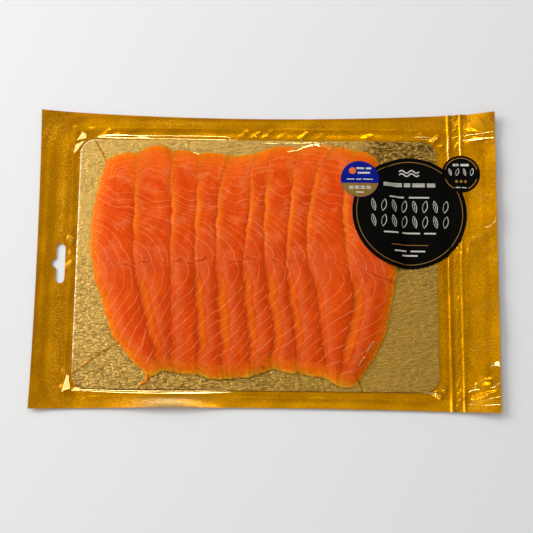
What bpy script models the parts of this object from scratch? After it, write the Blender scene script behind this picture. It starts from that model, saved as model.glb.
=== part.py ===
# A vacuum pack of hand sliced smoked salmon, lying flat on its back.
# Ten slices overlap like roof tiles on a gold card. A gold film lies behind the card and a clear
# film is drawn tight over the food. Both films are sealed together round the rim, where a hanging
# slot is cut. Three round paper labels are stuck on the clear film.
# Metres, +Z up, +X to the right and +Y to the top of the pack. The origin is the centre of its
# outline, at the surface it lies on.

import math

import bpy
import numpy as np
from mathutils import Vector
from mathutils.bvhtree import BVHTree

MM = 0.001

# Film pouch
POUCH_W, POUCH_H = 300.0, 200.0
BACK_T = 0.4
CLEAR_T = 0.3
GAP = 0.35  # between any two pieces that touch
TOP_SAG, BOTTOM_SAG, LEFT_SAG = 5.3, 2.1, 1.2  # the vacuum draws the long edges in
SAG_DEPTH = 18.0  # how far in from an edge that draw is felt
RIGHT_LIFT, LEFT_LIFT, SIDE_LIFT = 3.5, 1.5, 0.7  # how far the rim stands off the table
BACK_COLUMNS, BACK_ROWS = 7, 5  # of the back film, under the card

# Hanging slot
SLOT_X, SLOT_Y = -133.5, -4.7
SLOT_W, SLOT_L = 6.0, 26.4
SLOT_NUB_R = 2.9
SLOT_REACH = 10.0  # height and depth of the cutter
ARC_STEPS = 8

# Heat seal across the open end: two raised lines
SEAL_LINES = (119.0, 127.5)
SEAL_LINE_W, SEAL_LINE_H = 2.4, 0.8

# Card
CARD_W, CARD_H, CARD_T, CARD_R = 234.5, 166.5, 1.2, 9.5
CARD_X, CARD_Y = -5.9, -3.8
CARD_BASE = BACK_T + GAP
CARD_TOP = CARD_BASE + CARD_T
CARD_BEVEL = 0.2
CARD_LEFT, CARD_RIGHT = CARD_X - CARD_W / 2, CARD_X + CARD_W / 2
CARD_LOW, CARD_HIGH = CARD_Y - CARD_H / 2, CARD_Y + CARD_H / 2

# The clear film where it steps down, and where both films have points outside the card
CARD_LIP = 0.4  # it keeps the card's height this far past the edge
SKIRT = 2.4  # and is down at the rim this far past it
FOOT = 1.8  # it is down on the card this far from the slices
END_CLEAR = 0.5  # it stands off the ends of the slices by this much
RIM_LEFT = (-POUCH_W / 2, -142.0, -134.0, -127.5, CARD_LEFT - SKIRT)
RIM_RIGHT = (CARD_RIGHT + SKIRT,)
RIM_RIGHT += tuple(line + side * SEAL_LINE_W / 2 for line in SEAL_LINES for side in (-1, 0, 1))
RIM_RIGHT += (137.0, POUCH_W / 2)
RIM_LOW = (-POUCH_H / 2, CARD_LOW - SKIRT)
RIM_HIGH = (CARD_HIGH + SKIRT, CARD_HIGH + 9.0, POUCH_H / 2)

# Slices. Each level is a share of a slice's length from its foot to its head, with the place of
# the first slice's left edge there and the width of each slice that its neighbour leaves bare.
BED = CARD_TOP + GAP
LEVELS = (0.0, 0.17, 0.33, 0.49, 0.77, 0.89, 1.0)
FIRST_EDGE = (-74, -96, -105, -112, -113, -110, -106)
BARE_WIDTHS = (
    (8, 7, 16, 16, 18, 13, 16, 20, 6, 13),
    (21, 15, 17, 14, 18, 16, 14, 17, 15, 24),
    (24, 20, 16, 14, 17, 15, 14, 18, 23, 25),
    (27, 23, 16, 14, 17, 14, 14, 14, 26, 32),
    (27, 24, 16, 14, 21, 10, 17, 13, 21, 34),
    (24, 23, 18, 15, 19, 11, 17, 16, 19, 27),
    (21, 23, 17, 18, 18, 11, 18, 24, 12, 16),
)
# Where the edges between slices end, and how far each slice's end bulges past that
HEAD_Y = (65, 70, 72, 70, 69, 70, 74, 74, 75, 73, 68)
FOOT_Y = (-79, -75, -76, -77, -80, -78, -73, -76, -79, -83, -82)
HEAD_BULGE = (2, 4.5, 1.5, 1, -1, 0, 1.5, 2.5, 1, 1.5)
FOOT_BULGE = (0, 0, 0.5, 1.5, 0.5, 0.5, 0.5, 0, 0.5, 2)
SLICES = len(HEAD_BULGE)
LAST = SLICES - 1

CREST, VALLEY = 5.3, 3.9  # height of a slice's back and of the dip beside it
LAST_RISE = 0.6  # the last slice lies on top, so it stands this much higher
NOSE = 0.45  # height of the blunt left edge that rests on the slice before
CREST_AT = 0.2
FALL_BEND = 1.3  # how round a slice's back is as it falls from its crest to the dip
TAIL = 0.5  # how far a slice runs on under the next one, as a share of that one's width
TAIL_T = 0.8
RIM_T = 1.2  # thickness at the outer edge of the first and last slice
END_SHARE, END_ROUND = 0.3, 12.0  # the ends thin to this share over this length
LINE_AT, LINE_HALF, LINE_DEPTH = 0.49, 0.02, 0.5  # groove along the fish's side line
FILM_SPAN = 0.5  # share of the groove's depth that the film bridges

# Where each slice and the film over it have points, as shares of a slice's width and length
PAST_TAIL = 0.58
OWN_COLUMNS = (0.0, 0.07, CREST_AT, TAIL, PAST_TAIL, 1.0)
LAST_COLUMNS = (0.0, 0.07, CREST_AT, TAIL, PAST_TAIL, 0.8, 0.94, 1.0)
TAIL_COLUMNS = (CREST_AT, TAIL)
ROWS = (0.0, 0.015, 0.05, 0.12, 0.28, 0.47, 0.49, 0.51, 0.7, 0.88, 0.95, 0.985, 1.0)

# Labels: centre, diameter
LABEL_T = 0.3
LABELS = {
    "main_label": (93.3, 30.5, 75.0),
    "left_sticker": (60.8, 52.1, 25.0),
    "right_sticker": (127.3, 57.7, 25.0),
}
LABEL_SPAN = 4  # mm that a label bridges rather than follows
LABEL_SEGMENTS = 32
LABEL_RING = 7.0  # spacing of a label's rings of points
LOOK_FROM = 50.0  # a height above everything, from which the surface below is found

SHARP_ANGLE = 35.0  # degrees, between faces that are shaded with an edge


def clear_scene():
    for old in list(bpy.data.objects):
        bpy.data.objects.remove(old, do_unlink=True)


def finish(name, colour, metallic, roughness, alpha=1.0):
    """A plain material in the piece's own colour."""
    material = bpy.data.materials.new(name)
    material.use_nodes = True
    shader = material.node_tree.nodes["Principled BSDF"]
    shader.inputs["Base Color"].default_value = (*colour, 1.0)
    shader.inputs["Metallic"].default_value = metallic
    shader.inputs["Roughness"].default_value = roughness
    shader.inputs["Alpha"].default_value = alpha
    return material


def add_object(name, points, faces, material):
    """An object from points in millimetres."""
    mesh = bpy.data.meshes.new(name)
    mesh.from_pydata((np.asarray(points) * MM).tolist(), [], faces)
    mesh.materials.append(material)
    mesh.shade_smooth()
    mesh.set_sharp_from_angle(angle=math.radians(SHARP_ANGLE))
    item = bpy.data.objects.new(name, mesh)
    bpy.context.scene.collection.objects.link(item)
    return item


def sheet_faces(rows, columns):
    """Triangles of a closed sheet: its upper face, its lower face and the strip round its edge."""
    lower = rows * columns

    def at(row, column):
        return row * columns + column

    faces = []
    for row in range(rows - 1):
        for column in range(columns - 1):
            a, b = at(row, column), at(row, column + 1)
            c, d = at(row + 1, column + 1), at(row + 1, column)
            faces += [(a, b, c), (a, c, d)]
            faces += [(c + lower, b + lower, a + lower), (d + lower, c + lower, a + lower)]
    loop = [at(0, column) for column in range(columns - 1)]
    loop += [at(row, columns - 1) for row in range(rows - 1)]
    loop += [at(rows - 1, column) for column in range(columns - 1, 0, -1)]
    loop += [at(row, 0) for row in range(rows - 1, 0, -1)]
    for a, b in zip(loop, loop[1:] + loop[:1]):
        faces += [(a + lower, b + lower, b), (a + lower, b, a)]
    return faces


def add_sheet(name, upper, lower, material):
    """A closed solid between two grids of points, each rows by columns by 3."""
    rows, columns, _ = upper.shape
    points = np.concatenate([upper.reshape(-1, 3), lower.reshape(-1, 3)])
    return add_object(name, points, sheet_faces(rows, columns), material)


def smooth_through(knots, values, at):
    """A smooth curve through values at the knots, with each tangent set by its neighbours."""
    knots, values = np.asarray(knots, float), np.asarray(values, float)
    slope = np.gradient(values, knots, axis=0)
    k = int(np.clip(np.searchsorted(knots, at, side="right") - 1, 0, len(knots) - 2))
    span = knots[k + 1] - knots[k]
    t = (at - knots[k]) / span
    rise = 3 * t**2 - 2 * t**3
    return (
        values[k] * (1 - rise)
        + values[k + 1] * rise
        + slope[k] * span * (t**3 - 2 * t**2 + t)
        + slope[k + 1] * span * (t**3 - t**2)
    )


# Slices


def edge_places(v):
    """X of the eleven edges between slices, at share v of their length."""
    widths = smooth_through(LEVELS, BARE_WIDTHS, v)
    first = smooth_through(LEVELS, FIRST_EDGE, v)
    return first + np.concatenate([[0.0], np.cumsum(widths)])


def spot(c, v):
    """X and Y of a point of the fan of slices: c counts slices from the left, v runs foot to head."""
    i = min(int(c), LAST)
    s = c - i
    arch = 4 * s * (1 - s)
    head = HEAD_Y[i] * (1 - s) + HEAD_Y[i + 1] * s + HEAD_BULGE[i] * arch
    foot = FOOT_Y[i] * (1 - s) + FOOT_Y[i + 1] * s - FOOT_BULGE[i] * arch
    edges = edge_places(v)
    return edges[i] * (1 - s) + edges[i + 1] * s, foot * (1 - v) + head * v


def thinning(v):
    """Share of the full height that a slice keeps at v: its ends are rounded off."""
    length = (sum(HEAD_Y) - sum(FOOT_Y)) / len(HEAD_Y)
    near = min(min(v, 1 - v) * length / END_ROUND, 1.0)
    return END_SHARE + (1 - END_SHARE) * math.sqrt(1 - (1 - near) ** 2)


def groove(v):
    return LINE_DEPTH * max(0.0, 1 - abs(v - LINE_AT) / LINE_HALF)


def quarter_round(t):
    """Rises from 0 to 1 as a quarter of an ellipse does."""
    return math.sqrt(1 - (1 - min(max(t, 0.0), 1.0)) ** 2)


def back_height(i, s, v):
    """Height over the bed of slice i's upper face where it is bare."""
    share = thinning(v)
    crest = CREST + (LAST_RISE if i == LAST else 0.0)
    if s < CREST_AT:
        low = RIM_T * share if i == 0 else (VALLEY + NOSE) * share + GAP
        return low + (crest * share - low) * quarter_round(s / CREST_AT) - groove(v) * s / CREST_AT
    fall = (s - CREST_AT) / (1 - CREST_AT)
    height = crest - (CREST - VALLEY) * fall**FALL_BEND
    if i == LAST:
        height = RIM_T + (height - RIM_T) * quarter_round((1 - s) / CREST_AT)
    return height * share - groove(v) * (1 - fall)


def tail_height(s, v):
    """Height of the hidden tail that runs on under the next slice, at share s of that one."""
    return (VALLEY + (TAIL_T - VALLEY) * s / TAIL) * thinning(v)


def add_slice(i, material):
    own = LAST_COLUMNS if i == LAST else OWN_COLUMNS
    upper, lower = [], []
    for v in ROWS:
        columns = [(i + s, back_height(i, s, v), s) for s in own]
        if i < LAST:
            columns += [(i + 1 + s, tail_height(s, v), 1.0) for s in TAIL_COLUMNS]
        top_row, low_row = [], []
        for c, height, s in columns:
            x, y = spot(c, v)
            under = tail_height(s, v) + GAP if i > 0 and s <= TAIL else 0.0
            top_row.append((x, y, BED + height))
            low_row.append((x, y, BED + under))
        upper.append(top_row)
        lower.append(low_row)
    return add_sheet(f"slice_{i + 1:02d}", np.array(upper), np.array(lower), material)


# Films


def ramp(t):
    t = min(max(t, 0.0), 1.0)
    return t * t


def rim_lift(x, y):
    """How far the sealed rim stands off the table. It is nothing under the card."""
    right = RIGHT_LIFT * ramp((x - CARD_RIGHT) / (POUCH_W / 2 - CARD_RIGHT))
    left = LEFT_LIFT * ramp((CARD_LEFT - x) / (POUCH_W / 2 + CARD_LEFT))
    top = SIDE_LIFT * ramp((y - CARD_HIGH) / (POUCH_H / 2 - CARD_HIGH))
    low = SIDE_LIFT * ramp((CARD_LOW - y) / (POUCH_H / 2 + CARD_LOW))
    return right + left + top + low


def drawn_in(x, y):
    """A point of the flat pouch once the vacuum has drawn its edges in."""
    along_x, along_y = 1 - (2 * x / POUCH_W) ** 2, 1 - (2 * y / POUCH_H) ** 2
    from_top, from_low = POUCH_H / 2 - y, POUCH_H / 2 + y
    from_left = POUCH_W / 2 + x
    y -= TOP_SAG * along_x * ramp(1 - from_top / SAG_DEPTH)
    y += BOTTOM_SAG * along_x * ramp(1 - from_low / SAG_DEPTH)
    x += LEFT_SAG * along_y * ramp(1 - from_left / SAG_DEPTH)
    return x, y


def add_back_film(material):
    places_x = [*RIM_LEFT, *np.linspace(CARD_LEFT, CARD_RIGHT, BACK_COLUMNS), *RIM_RIGHT]
    places_y = [*RIM_LOW, *np.linspace(CARD_LOW, CARD_HIGH, BACK_ROWS), *RIM_HIGH]
    lower = np.array([[(*drawn_in(x, y), rim_lift(x, y)) for x in places_x] for y in places_y])
    upper = lower + np.array([0.0, 0.0, BACK_T])
    return add_sheet("back_film", upper, lower, material)


def seal_ridge(x):
    return sum(SEAL_LINE_H for line in SEAL_LINES if abs(x - line) < SEAL_LINE_W / 4)


def film_columns():
    """The clear film's columns over the slices, as places c in the fan, with their dips bridged."""
    columns = [0.0, 0.07]
    for i in range(SLICES):
        columns += [i + CREST_AT, i + PAST_TAIL]
    return columns + [LAST + 0.8, LAST + 0.94, float(SLICES)]


def film_over_slices(c, v):
    """Height over the bed of the clear film's lower face."""
    i = min(int(c), LAST)
    return back_height(i, c - i, v) + GAP + groove(v) * FILM_SPAN


def on_rim(x, y):
    """A point of the clear film's lower face where it is sealed to the back film."""
    return (*drawn_in(x, y), BACK_T + GAP + rim_lift(x, y) + seal_ridge(x))


def film_row(v):
    """The clear film's row at v of the slices, as X, Y, and Z unless the point is on the rim."""
    left, right = spot(0, v), spot(SLICES, v)
    on_card = CARD_TOP + GAP
    row = [(x, left[1], None) for x in RIM_LEFT]
    for x in (CARD_LEFT - CARD_LIP, (CARD_LEFT + left[0]) / 2, left[0] - FOOT):
        row.append((x, left[1], on_card))
    for c in film_columns():
        row.append((*spot(c, v), BED + film_over_slices(c, v)))
    for x in (right[0] + FOOT, (CARD_RIGHT + right[0]) / 2, CARD_RIGHT + CARD_LIP):
        row.append((x, right[1], on_card))
    row += [(x, right[1], None) for x in RIM_RIGHT]
    return row


def add_clear_film(material):
    """The film lies on the slices, steps down to the card, and down again to the sealed rim."""
    on_card = CARD_TOP + GAP
    foot_row, head_row = film_row(0.0), film_row(1.0)

    def on_card_at(row, outward):
        """This row moved along Y to lie flat on the card, apart from its points on the rim."""
        return [
            on_rim(x, outward(y)) if z is None else (x, outward(y), on_card) for x, y, z in row
        ]

    grid = [[on_rim(x, y) for x, _, _ in foot_row] for y in RIM_LOW]
    grid.append(on_card_at(foot_row, lambda y: CARD_LOW - CARD_LIP))
    grid.append(on_card_at(foot_row, lambda y: y - FOOT))
    for v in ROWS:
        clear = END_CLEAR * ((v == 1) - (v == 0))
        grid.append(
            [on_rim(x, y) if z is None else (x, y + clear, z) for x, y, z in film_row(v)]
        )
    grid.append(on_card_at(head_row, lambda y: y + FOOT))
    grid.append(on_card_at(head_row, lambda y: CARD_HIGH + CARD_LIP))
    grid += [[on_rim(x, y) for x, _, _ in head_row] for y in RIM_HIGH]
    lower = np.array(grid)
    upper = lower + np.array([0.0, 0.0, CLEAR_T])
    return add_sheet("front_film", upper, lower, material)


def arc(x, y, radius, start, end, steps=ARC_STEPS):
    """Points on an arc, with its angles in degrees."""
    angles = np.radians(np.linspace(start, end, steps + 1))
    return [(x + radius * math.cos(a), y + radius * math.sin(a)) for a in angles]


def add_prism(name, outline, low, high, material):
    """A closed solid of this outline, which runs anticlockwise, between two heights."""
    count = len(outline)
    points = [(x, y, low) for x, y in outline] + [(x, y, high) for x, y in outline]
    faces = [tuple(range(count - 1, -1, -1)), tuple(range(count, 2 * count))]
    for k in range(count):
        after = (k + 1) % count
        faces.append((k, after, after + count, k + count))
    return add_object(name, points, faces, material)


def cut_slot(films, material):
    """Cuts the hanging slot, a round-ended slit with a round nub at its middle, through the films."""
    radius, reach = SLOT_W / 2, SLOT_L / 2 - SLOT_W / 2
    outline = arc(SLOT_X, SLOT_Y - reach, radius, 180, 360)
    outline += arc(SLOT_X, SLOT_Y + reach, radius, 0, 180)
    outline += arc(SLOT_X - radius, SLOT_Y, SLOT_NUB_R, 90, 270)
    cutter = add_prism("slot_cutter", outline, -SLOT_REACH, SLOT_REACH, material)
    cutter.hide_render = True
    cutter.display_type = "WIRE"
    for film in films:
        cut = film.modifiers.new("slot", "BOOLEAN")
        cut.operation = "DIFFERENCE"
        cut.solver = "EXACT"
        cut.object = cutter


# Card and labels


def add_card(material):
    reach_x, reach_y = CARD_W / 2 - CARD_R, CARD_H / 2 - CARD_R
    outline = []
    for quarter, (side_x, side_y) in enumerate([(1, 1), (-1, 1), (-1, -1), (1, -1)]):
        start = 90 * quarter
        outline += arc(CARD_X + side_x * reach_x, CARD_Y + side_y * reach_y, CARD_R, start, start + 90)
    card = add_prism("card", outline, CARD_BASE, CARD_TOP, material)
    bevel = card.modifiers.new("worn edge", "BEVEL")
    bevel.width = CARD_BEVEL * MM
    bevel.segments = 1
    bevel.limit_method = "ANGLE"
    return card


def heights_under(items, low_x, low_y, across, up):
    """Heights of the highest of the items on a grid of whole millimetres."""
    bpy.context.view_layer.update()
    graph = bpy.context.evaluated_depsgraph_get()
    trees = [BVHTree.FromObject(item, graph) for item in items]
    heights = np.zeros((up, across))
    down = Vector((0, 0, -1))
    for row in range(up):
        for column in range(across):
            start = Vector(((low_x + column) * MM, (low_y + row) * MM, LOOK_FROM * MM))
            hits = [tree.ray_cast(start, down)[0] for tree in trees]
            heights[row, column] = max([hit.z / MM for hit in hits if hit], default=0.0)
    return heights


def bridged(heights):
    """The smooth surface of a stiff label laid on these heights: it clears every one of them."""
    reach = range(-LABEL_SPAN, LABEL_SPAN + 1)
    around = [(a, b) for a in reach for b in reach if a * a + b * b <= LABEL_SPAN**2]
    highest = np.max([np.roll(heights, shift, (0, 1)) for shift in around], axis=0)
    return np.mean([np.roll(highest, shift, (0, 1)) for shift in around], axis=0)


def add_label(name, below, material):
    """A thin disc that lies on the pieces below it."""
    centre_x, centre_y, across = LABELS[name]
    radius = across / 2
    margin = 2 * LABEL_SPAN + 3
    low_x, low_y = math.floor(centre_x - radius - margin), math.floor(centre_y - radius - margin)
    side = math.ceil(across + 2 * margin) + 1
    surface = bridged(heights_under(below, low_x, low_y, side, side))

    def rest(x, y):
        """Height of the label's underside, between the grid's own points."""
        fx, fy = x - low_x, y - low_y
        column, row = int(fx), int(fy)
        tx, ty = fx - column, fy - row
        near = surface[row, column] * (1 - tx) + surface[row, column + 1] * tx
        far = surface[row + 1, column] * (1 - tx) + surface[row + 1, column + 1] * tx
        return near * (1 - ty) + far * ty + GAP

    rings = round(radius / LABEL_RING)
    points = [(centre_x, centre_y)]
    for ring in range(1, rings + 1):
        points += arc(centre_x, centre_y, radius * ring / rings, 0, 360, LABEL_SEGMENTS)[:-1]
    lower = [(x, y, rest(x, y)) for x, y in points]
    upper = [(x, y, z + LABEL_T) for x, y, z in lower]
    count = len(points)
    faces = []
    for k in range(LABEL_SEGMENTS):
        after = (k + 1) % LABEL_SEGMENTS
        faces += [(0, 1 + k, 1 + after), (count, count + 1 + after, count + 1 + k)]
        for ring in range(rings - 1):
            inner, outer = 1 + ring * LABEL_SEGMENTS, 1 + (ring + 1) * LABEL_SEGMENTS
            a, b, c, d = inner + k, outer + k, outer + after, inner + after
            faces += [(a, b, c), (a, c, d)]
            faces += [(c + count, b + count, a + count), (d + count, c + count, a + count)]
        edge = 1 + (rings - 1) * LABEL_SEGMENTS
        a, b = edge + k, edge + after
        faces += [(a + count, b + count, b), (a + count, b, a)]
    return add_object(name, upper + lower, faces, material)


def main():
    clear_scene()
    gold_film = finish("gold_film", (0.62, 0.36, 0.02), 1.0, 0.35)
    clear_film = finish("clear_film", (1.0, 1.0, 1.0), 0.0, 0.08, 0.15)
    gold_card = finish("gold_card", (0.58, 0.42, 0.16), 0.9, 0.4)
    salmon = finish("salmon", (0.80, 0.13, 0.015), 0.0, 0.35)
    black_print = finish("black_print", (0.01, 0.01, 0.01), 0.0, 0.4)
    blue_print = finish("blue_print", (0.01, 0.03, 0.35), 0.0, 0.4)

    back = add_back_film(gold_film)
    add_card(gold_card)
    for i in range(SLICES):
        add_slice(i, salmon)
    front = add_clear_film(clear_film)
    label = add_label("main_label", [front], black_print)
    add_label("left_sticker", [front, label], blue_print)
    add_label("right_sticker", [front, label], black_print)
    cut_slot([back, front], clear_film)


main()
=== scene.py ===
# Vacuum pack of hand sliced smoked salmon, lying on its gold back.
# Sizes are millimetres up to the moment a mesh is made. X runs along the pack, Y towards the top
# of the label, Z up from the surface it lies on.
import math

import bpy
import numpy as np
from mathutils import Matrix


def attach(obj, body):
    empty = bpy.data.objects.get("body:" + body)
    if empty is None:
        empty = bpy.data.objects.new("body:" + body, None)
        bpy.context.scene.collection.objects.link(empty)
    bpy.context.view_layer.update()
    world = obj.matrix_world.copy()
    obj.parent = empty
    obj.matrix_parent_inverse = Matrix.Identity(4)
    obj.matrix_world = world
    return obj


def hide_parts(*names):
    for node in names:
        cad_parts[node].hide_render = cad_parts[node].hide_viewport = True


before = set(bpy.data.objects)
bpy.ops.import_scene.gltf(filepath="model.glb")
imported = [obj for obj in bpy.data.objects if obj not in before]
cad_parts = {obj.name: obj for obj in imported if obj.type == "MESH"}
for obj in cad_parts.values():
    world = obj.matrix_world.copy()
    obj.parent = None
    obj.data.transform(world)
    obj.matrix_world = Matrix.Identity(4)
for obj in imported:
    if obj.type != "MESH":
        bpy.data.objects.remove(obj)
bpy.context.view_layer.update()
mm = 0.001


# Small tools


def ramp(t):
    # t squared between 0 and 1
    return np.clip(t, 0, 1) ** 2


def ease(t):
    # an S curve from 0 to 1
    t = np.clip(t, 0, 1)
    return t * t * (3 - 2 * t)


def bell(t):
    # 1 at nothing, falling to 0 on both sides as a Gaussian does
    return np.exp(-(t**2))


def ripple(x, y, size, seed, stretchX=1.0, waves=12):
    # uneven ground about -1 to 1: a sum of cosines whose directions, lengths near size and
    # phases are drawn from the seed. stretchX draws it out along X
    draw = np.random.default_rng(seed)
    total = np.zeros(np.broadcast(x, y).shape)
    for _ in range(waves):
        angle = draw.uniform(0, math.pi)
        length = size * draw.uniform(0.7, 1.6)
        phase = draw.uniform(0, 2 * math.pi)
        along = x * math.cos(angle) / stretchX + y * math.sin(angle)
        total += np.cos(2 * math.pi * along / length + phase)
    return total / math.sqrt(waves)


def smoothThrough(knots, values, at):
    # cubic through values at the knots, each tangent set by the two neighbours
    knots = np.asarray(knots, float)
    values = np.asarray(values, float)
    slope = np.gradient(values, knots, axis=0)
    at = np.asarray(at, float)
    k = np.clip(np.searchsorted(knots, at, side="right") - 1, 0, len(knots) - 2)
    span = knots[k + 1] - knots[k]
    t = (at - knots[k]) / span
    if values.ndim > 1:
        t, span = t[..., None], span[..., None]
    rise = 3 * t**2 - 2 * t**3
    return (
        values[k] * (1 - rise)
        + values[k + 1] * rise
        + slope[k] * span * (t**3 - 2 * t**2 + t)
        + slope[k + 1] * span * (t**3 - t**2)
    )


def roundedBox(x, y, centre, halfX, halfY, radius):
    # distance to the outline of a rounded rectangle, positive inside it
    dx = np.abs(x - centre[0]) - halfX + radius
    dy = np.abs(y - centre[1]) - halfY + radius
    outside = np.hypot(np.maximum(dx, 0), np.maximum(dy, 0))
    return radius - outside - np.minimum(np.maximum(dx, dy), 0)


def fold(x, y, startX, startY, endX, endY, height, halfWidth):
    # a straight tent-shaped pleat from start to end that fades out at both of them
    length = math.hypot(endX - startX, endY - startY)
    dx, dy = (endX - startX) / length, (endY - startY) / length
    along = ((x - startX) * dx + (y - startY) * dy) / length
    off = np.abs((y - startY) * dx - (x - startX) * dy)
    fade = ease(along / 0.25) * ease((1 - along) / 0.25)
    return height * fade * np.clip(1 - off / halfWidth, 0, 1)


# The pouch


pouch = {
    "width": 300.0,
    "height": 200.0,
    "backThick": 0.35,
    "topSag": 5.3,
    "bottomSag": 2.1,
    "leftSag": 1.2,
    "sagDepth": 18.0,
    "rightLift": 3.5,
    "leftLift": 1.5,
    "sideLift": 0.7,
    "slotCentre": (-133.5, -4.7),
    "slotWidth": 6.0,
    "slotLength": 26.4,
    "slotNub": 2.9,
    "pleats": ((119.6, 2.5, 0.75), (127.4, 2.0, 0.6)),  # X, width, height
    "strip": (121.6, 126.2),
    "sealTop": 88.5,
    "sealBottom": -91.5,
    "sealLeft": -127.6,
    "sealBlend": 1.8,
    "flapFrom": 129.0,
    "skirt": 3.4,  # how far out the films slope down from the card
    "sideSkirt": 2.8,  # how much farther at the card's short sides, and what share of the rise
    "sideRise": 0.5,
    "goldSkirt": 2.0,  # how much farther the gold film slopes than the clear one
    "skirtRise": 0.38,
    # the clear film leaves the card gently and drops steeper halfway: shares of way and drop
    "skirtOut": (0.0, 0.16, 0.32, 0.48, 0.64, 0.8, 0.9, 1.0),
    "skirtFall": (0.0, 0.085, 0.175, 0.38, 0.59, 0.795, 0.8475, 0.9),
    "skirtUnder": 0.36,
    "lowLift": (-61.0, 27.0, 2.4),  # where the bottom edge curls up: X, half width, height
}
card = {
    "width": 234.5,
    "height": 166.5,
    "radius": 9.5,
    "centre": (-5.9, -3.8),
    "base": 0.75,
    "top": 1.95,
}
cardLeft = card["centre"][0] - card["width"] / 2
cardRight = card["centre"][0] + card["width"] / 2
cardLow = card["centre"][1] - card["height"] / 2
cardHigh = card["centre"][1] + card["height"] / 2
halfX, halfY = pouch["width"] / 2, pouch["height"] / 2

# pleats where both films wrinkle together: X and Y of the start and of the end, height, half width
rimFolds = (
    (-114, 82, -118, 89, 0.5, 1.7), (-109, 80, -104, 88, 0.7, 1.6), (-103, 80, -98, 85, 0.4, 1.6),
    (-124, 84, -129, 90, 0.3, 1.6), (-122, -84, -131, -86, 0.8, 1.6),
    (-124, -78, -130, -74, 0.6, 1.6), (-116, -87, -115, -94, 0.7, 1.6),
    (108, 78, 114, 84, 0.9, 2.2), (103, 80, 100, 87, 0.5, 2.0), (111, 75, 117, 77, 0.5, 1.8),
    (107, -86, 114, -91, 0.9, 2.2), (110, -82, 117, -86, 0.6, 2.2), (-19, 80, -12, 88, 0.55, 1.7),
    (-11, 80, -4, 87, 0.5, 1.5), (-3, 80, 4, 88, 0.45, 1.6), (7, 80, 12, 86, 0.4, 1.5),
    (20, 79, 28, 87, 0.6, 2.0), (33, 80, 37, 86, 0.35, 1.6), (62, 80, 70, 85, 0.5, 1.8),
    (-124, 9, -130, 14, 0.7, 1.8), (-124, -3, -131, -8, 0.6, 2.0), (-124, 3, -129, 2, 0.4, 1.6),
    (129, 79, 149, 82, 0.8, 1.6), (133, 83, 150, 79, 0.5, 1.8), (130, 88, 146, 84, 0.5, 2.2),
    (130, 11, 149, 19, 0.5, 3.0), (140, 5, 150, 10, 0.5, 2.6), (143, 2, 150, -4, 0.5, 2.5),
    (130, 7, 137, 3, 0.4, 2.5), (129, -84, 149, -77, 0.8, 1.8), (129, -91, 149, -86, 0.8, 1.5),
    (136, -77, 146, -82, 0.5, 2.2), (131, -60, 149, -55, 0.35, 3.5), (133, -36, 149, -28, 0.3, 4.0),
    (134, 48, 149, 38, 0.3, 4.0),
)


def drawnIn(x, y):
    # a point of the flat pouch once the vacuum has drawn its long edges in
    alongX, alongY = 1 - (x / halfX) ** 2, 1 - (y / halfY) ** 2
    depth = pouch["sagDepth"]
    down = pouch["topSag"] * alongX * ramp(1 - (halfY - y) / depth)
    up = pouch["bottomSag"] * alongX * ramp(1 - (halfY + y) / depth)
    right = pouch["leftSag"] * alongY * ramp(1 - (halfX + x) / depth)
    return x + right, y - down + up


def rimLift(x, y):
    # how far the sealed rim stands off the table: nothing under the card, more to each edge
    return (
        pouch["rightLift"] * ramp((x - cardRight) / (halfX - cardRight))
        + pouch["leftLift"] * ramp((cardLeft - x) / (halfX + cardLeft))
        + pouch["sideLift"] * ramp((y - cardHigh) / (halfY - cardHigh))
        + pouch["sideLift"] * ramp((cardLow - y) / (halfY + cardLow))
    )


def cardInside(x, y):
    # distance inside the card's outline
    return roundedBox(x, y, card["centre"], card["width"] / 2, card["height"] / 2, card["radius"])


def sealed(x, y):
    # 1 where the two films are welded together, 0 where they lie loose
    inward = np.minimum(pouch["sealTop"] - y, y - pouch["sealBottom"])
    loose = (x > pouch["flapFrom"]) * (inward > 0)
    inward = np.minimum(inward, x - pouch["sealLeft"])
    return (1 - ease(inward / pouch["sealBlend"] + 0.5)) * (1 - loose)


def sideways(x, y):
    # 1 beyond the card's short sides and 0 beyond its long ones
    overX = np.abs(x - card["centre"][0]) - card["width"] / 2
    overY = np.abs(y - card["centre"][1]) - card["height"] / 2
    return ease((overX - overY) / 8 + 0.5)


def skirtWidth(x, y):
    return pouch["skirt"] + pouch["sideSkirt"] * sideways(x, y)


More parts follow.
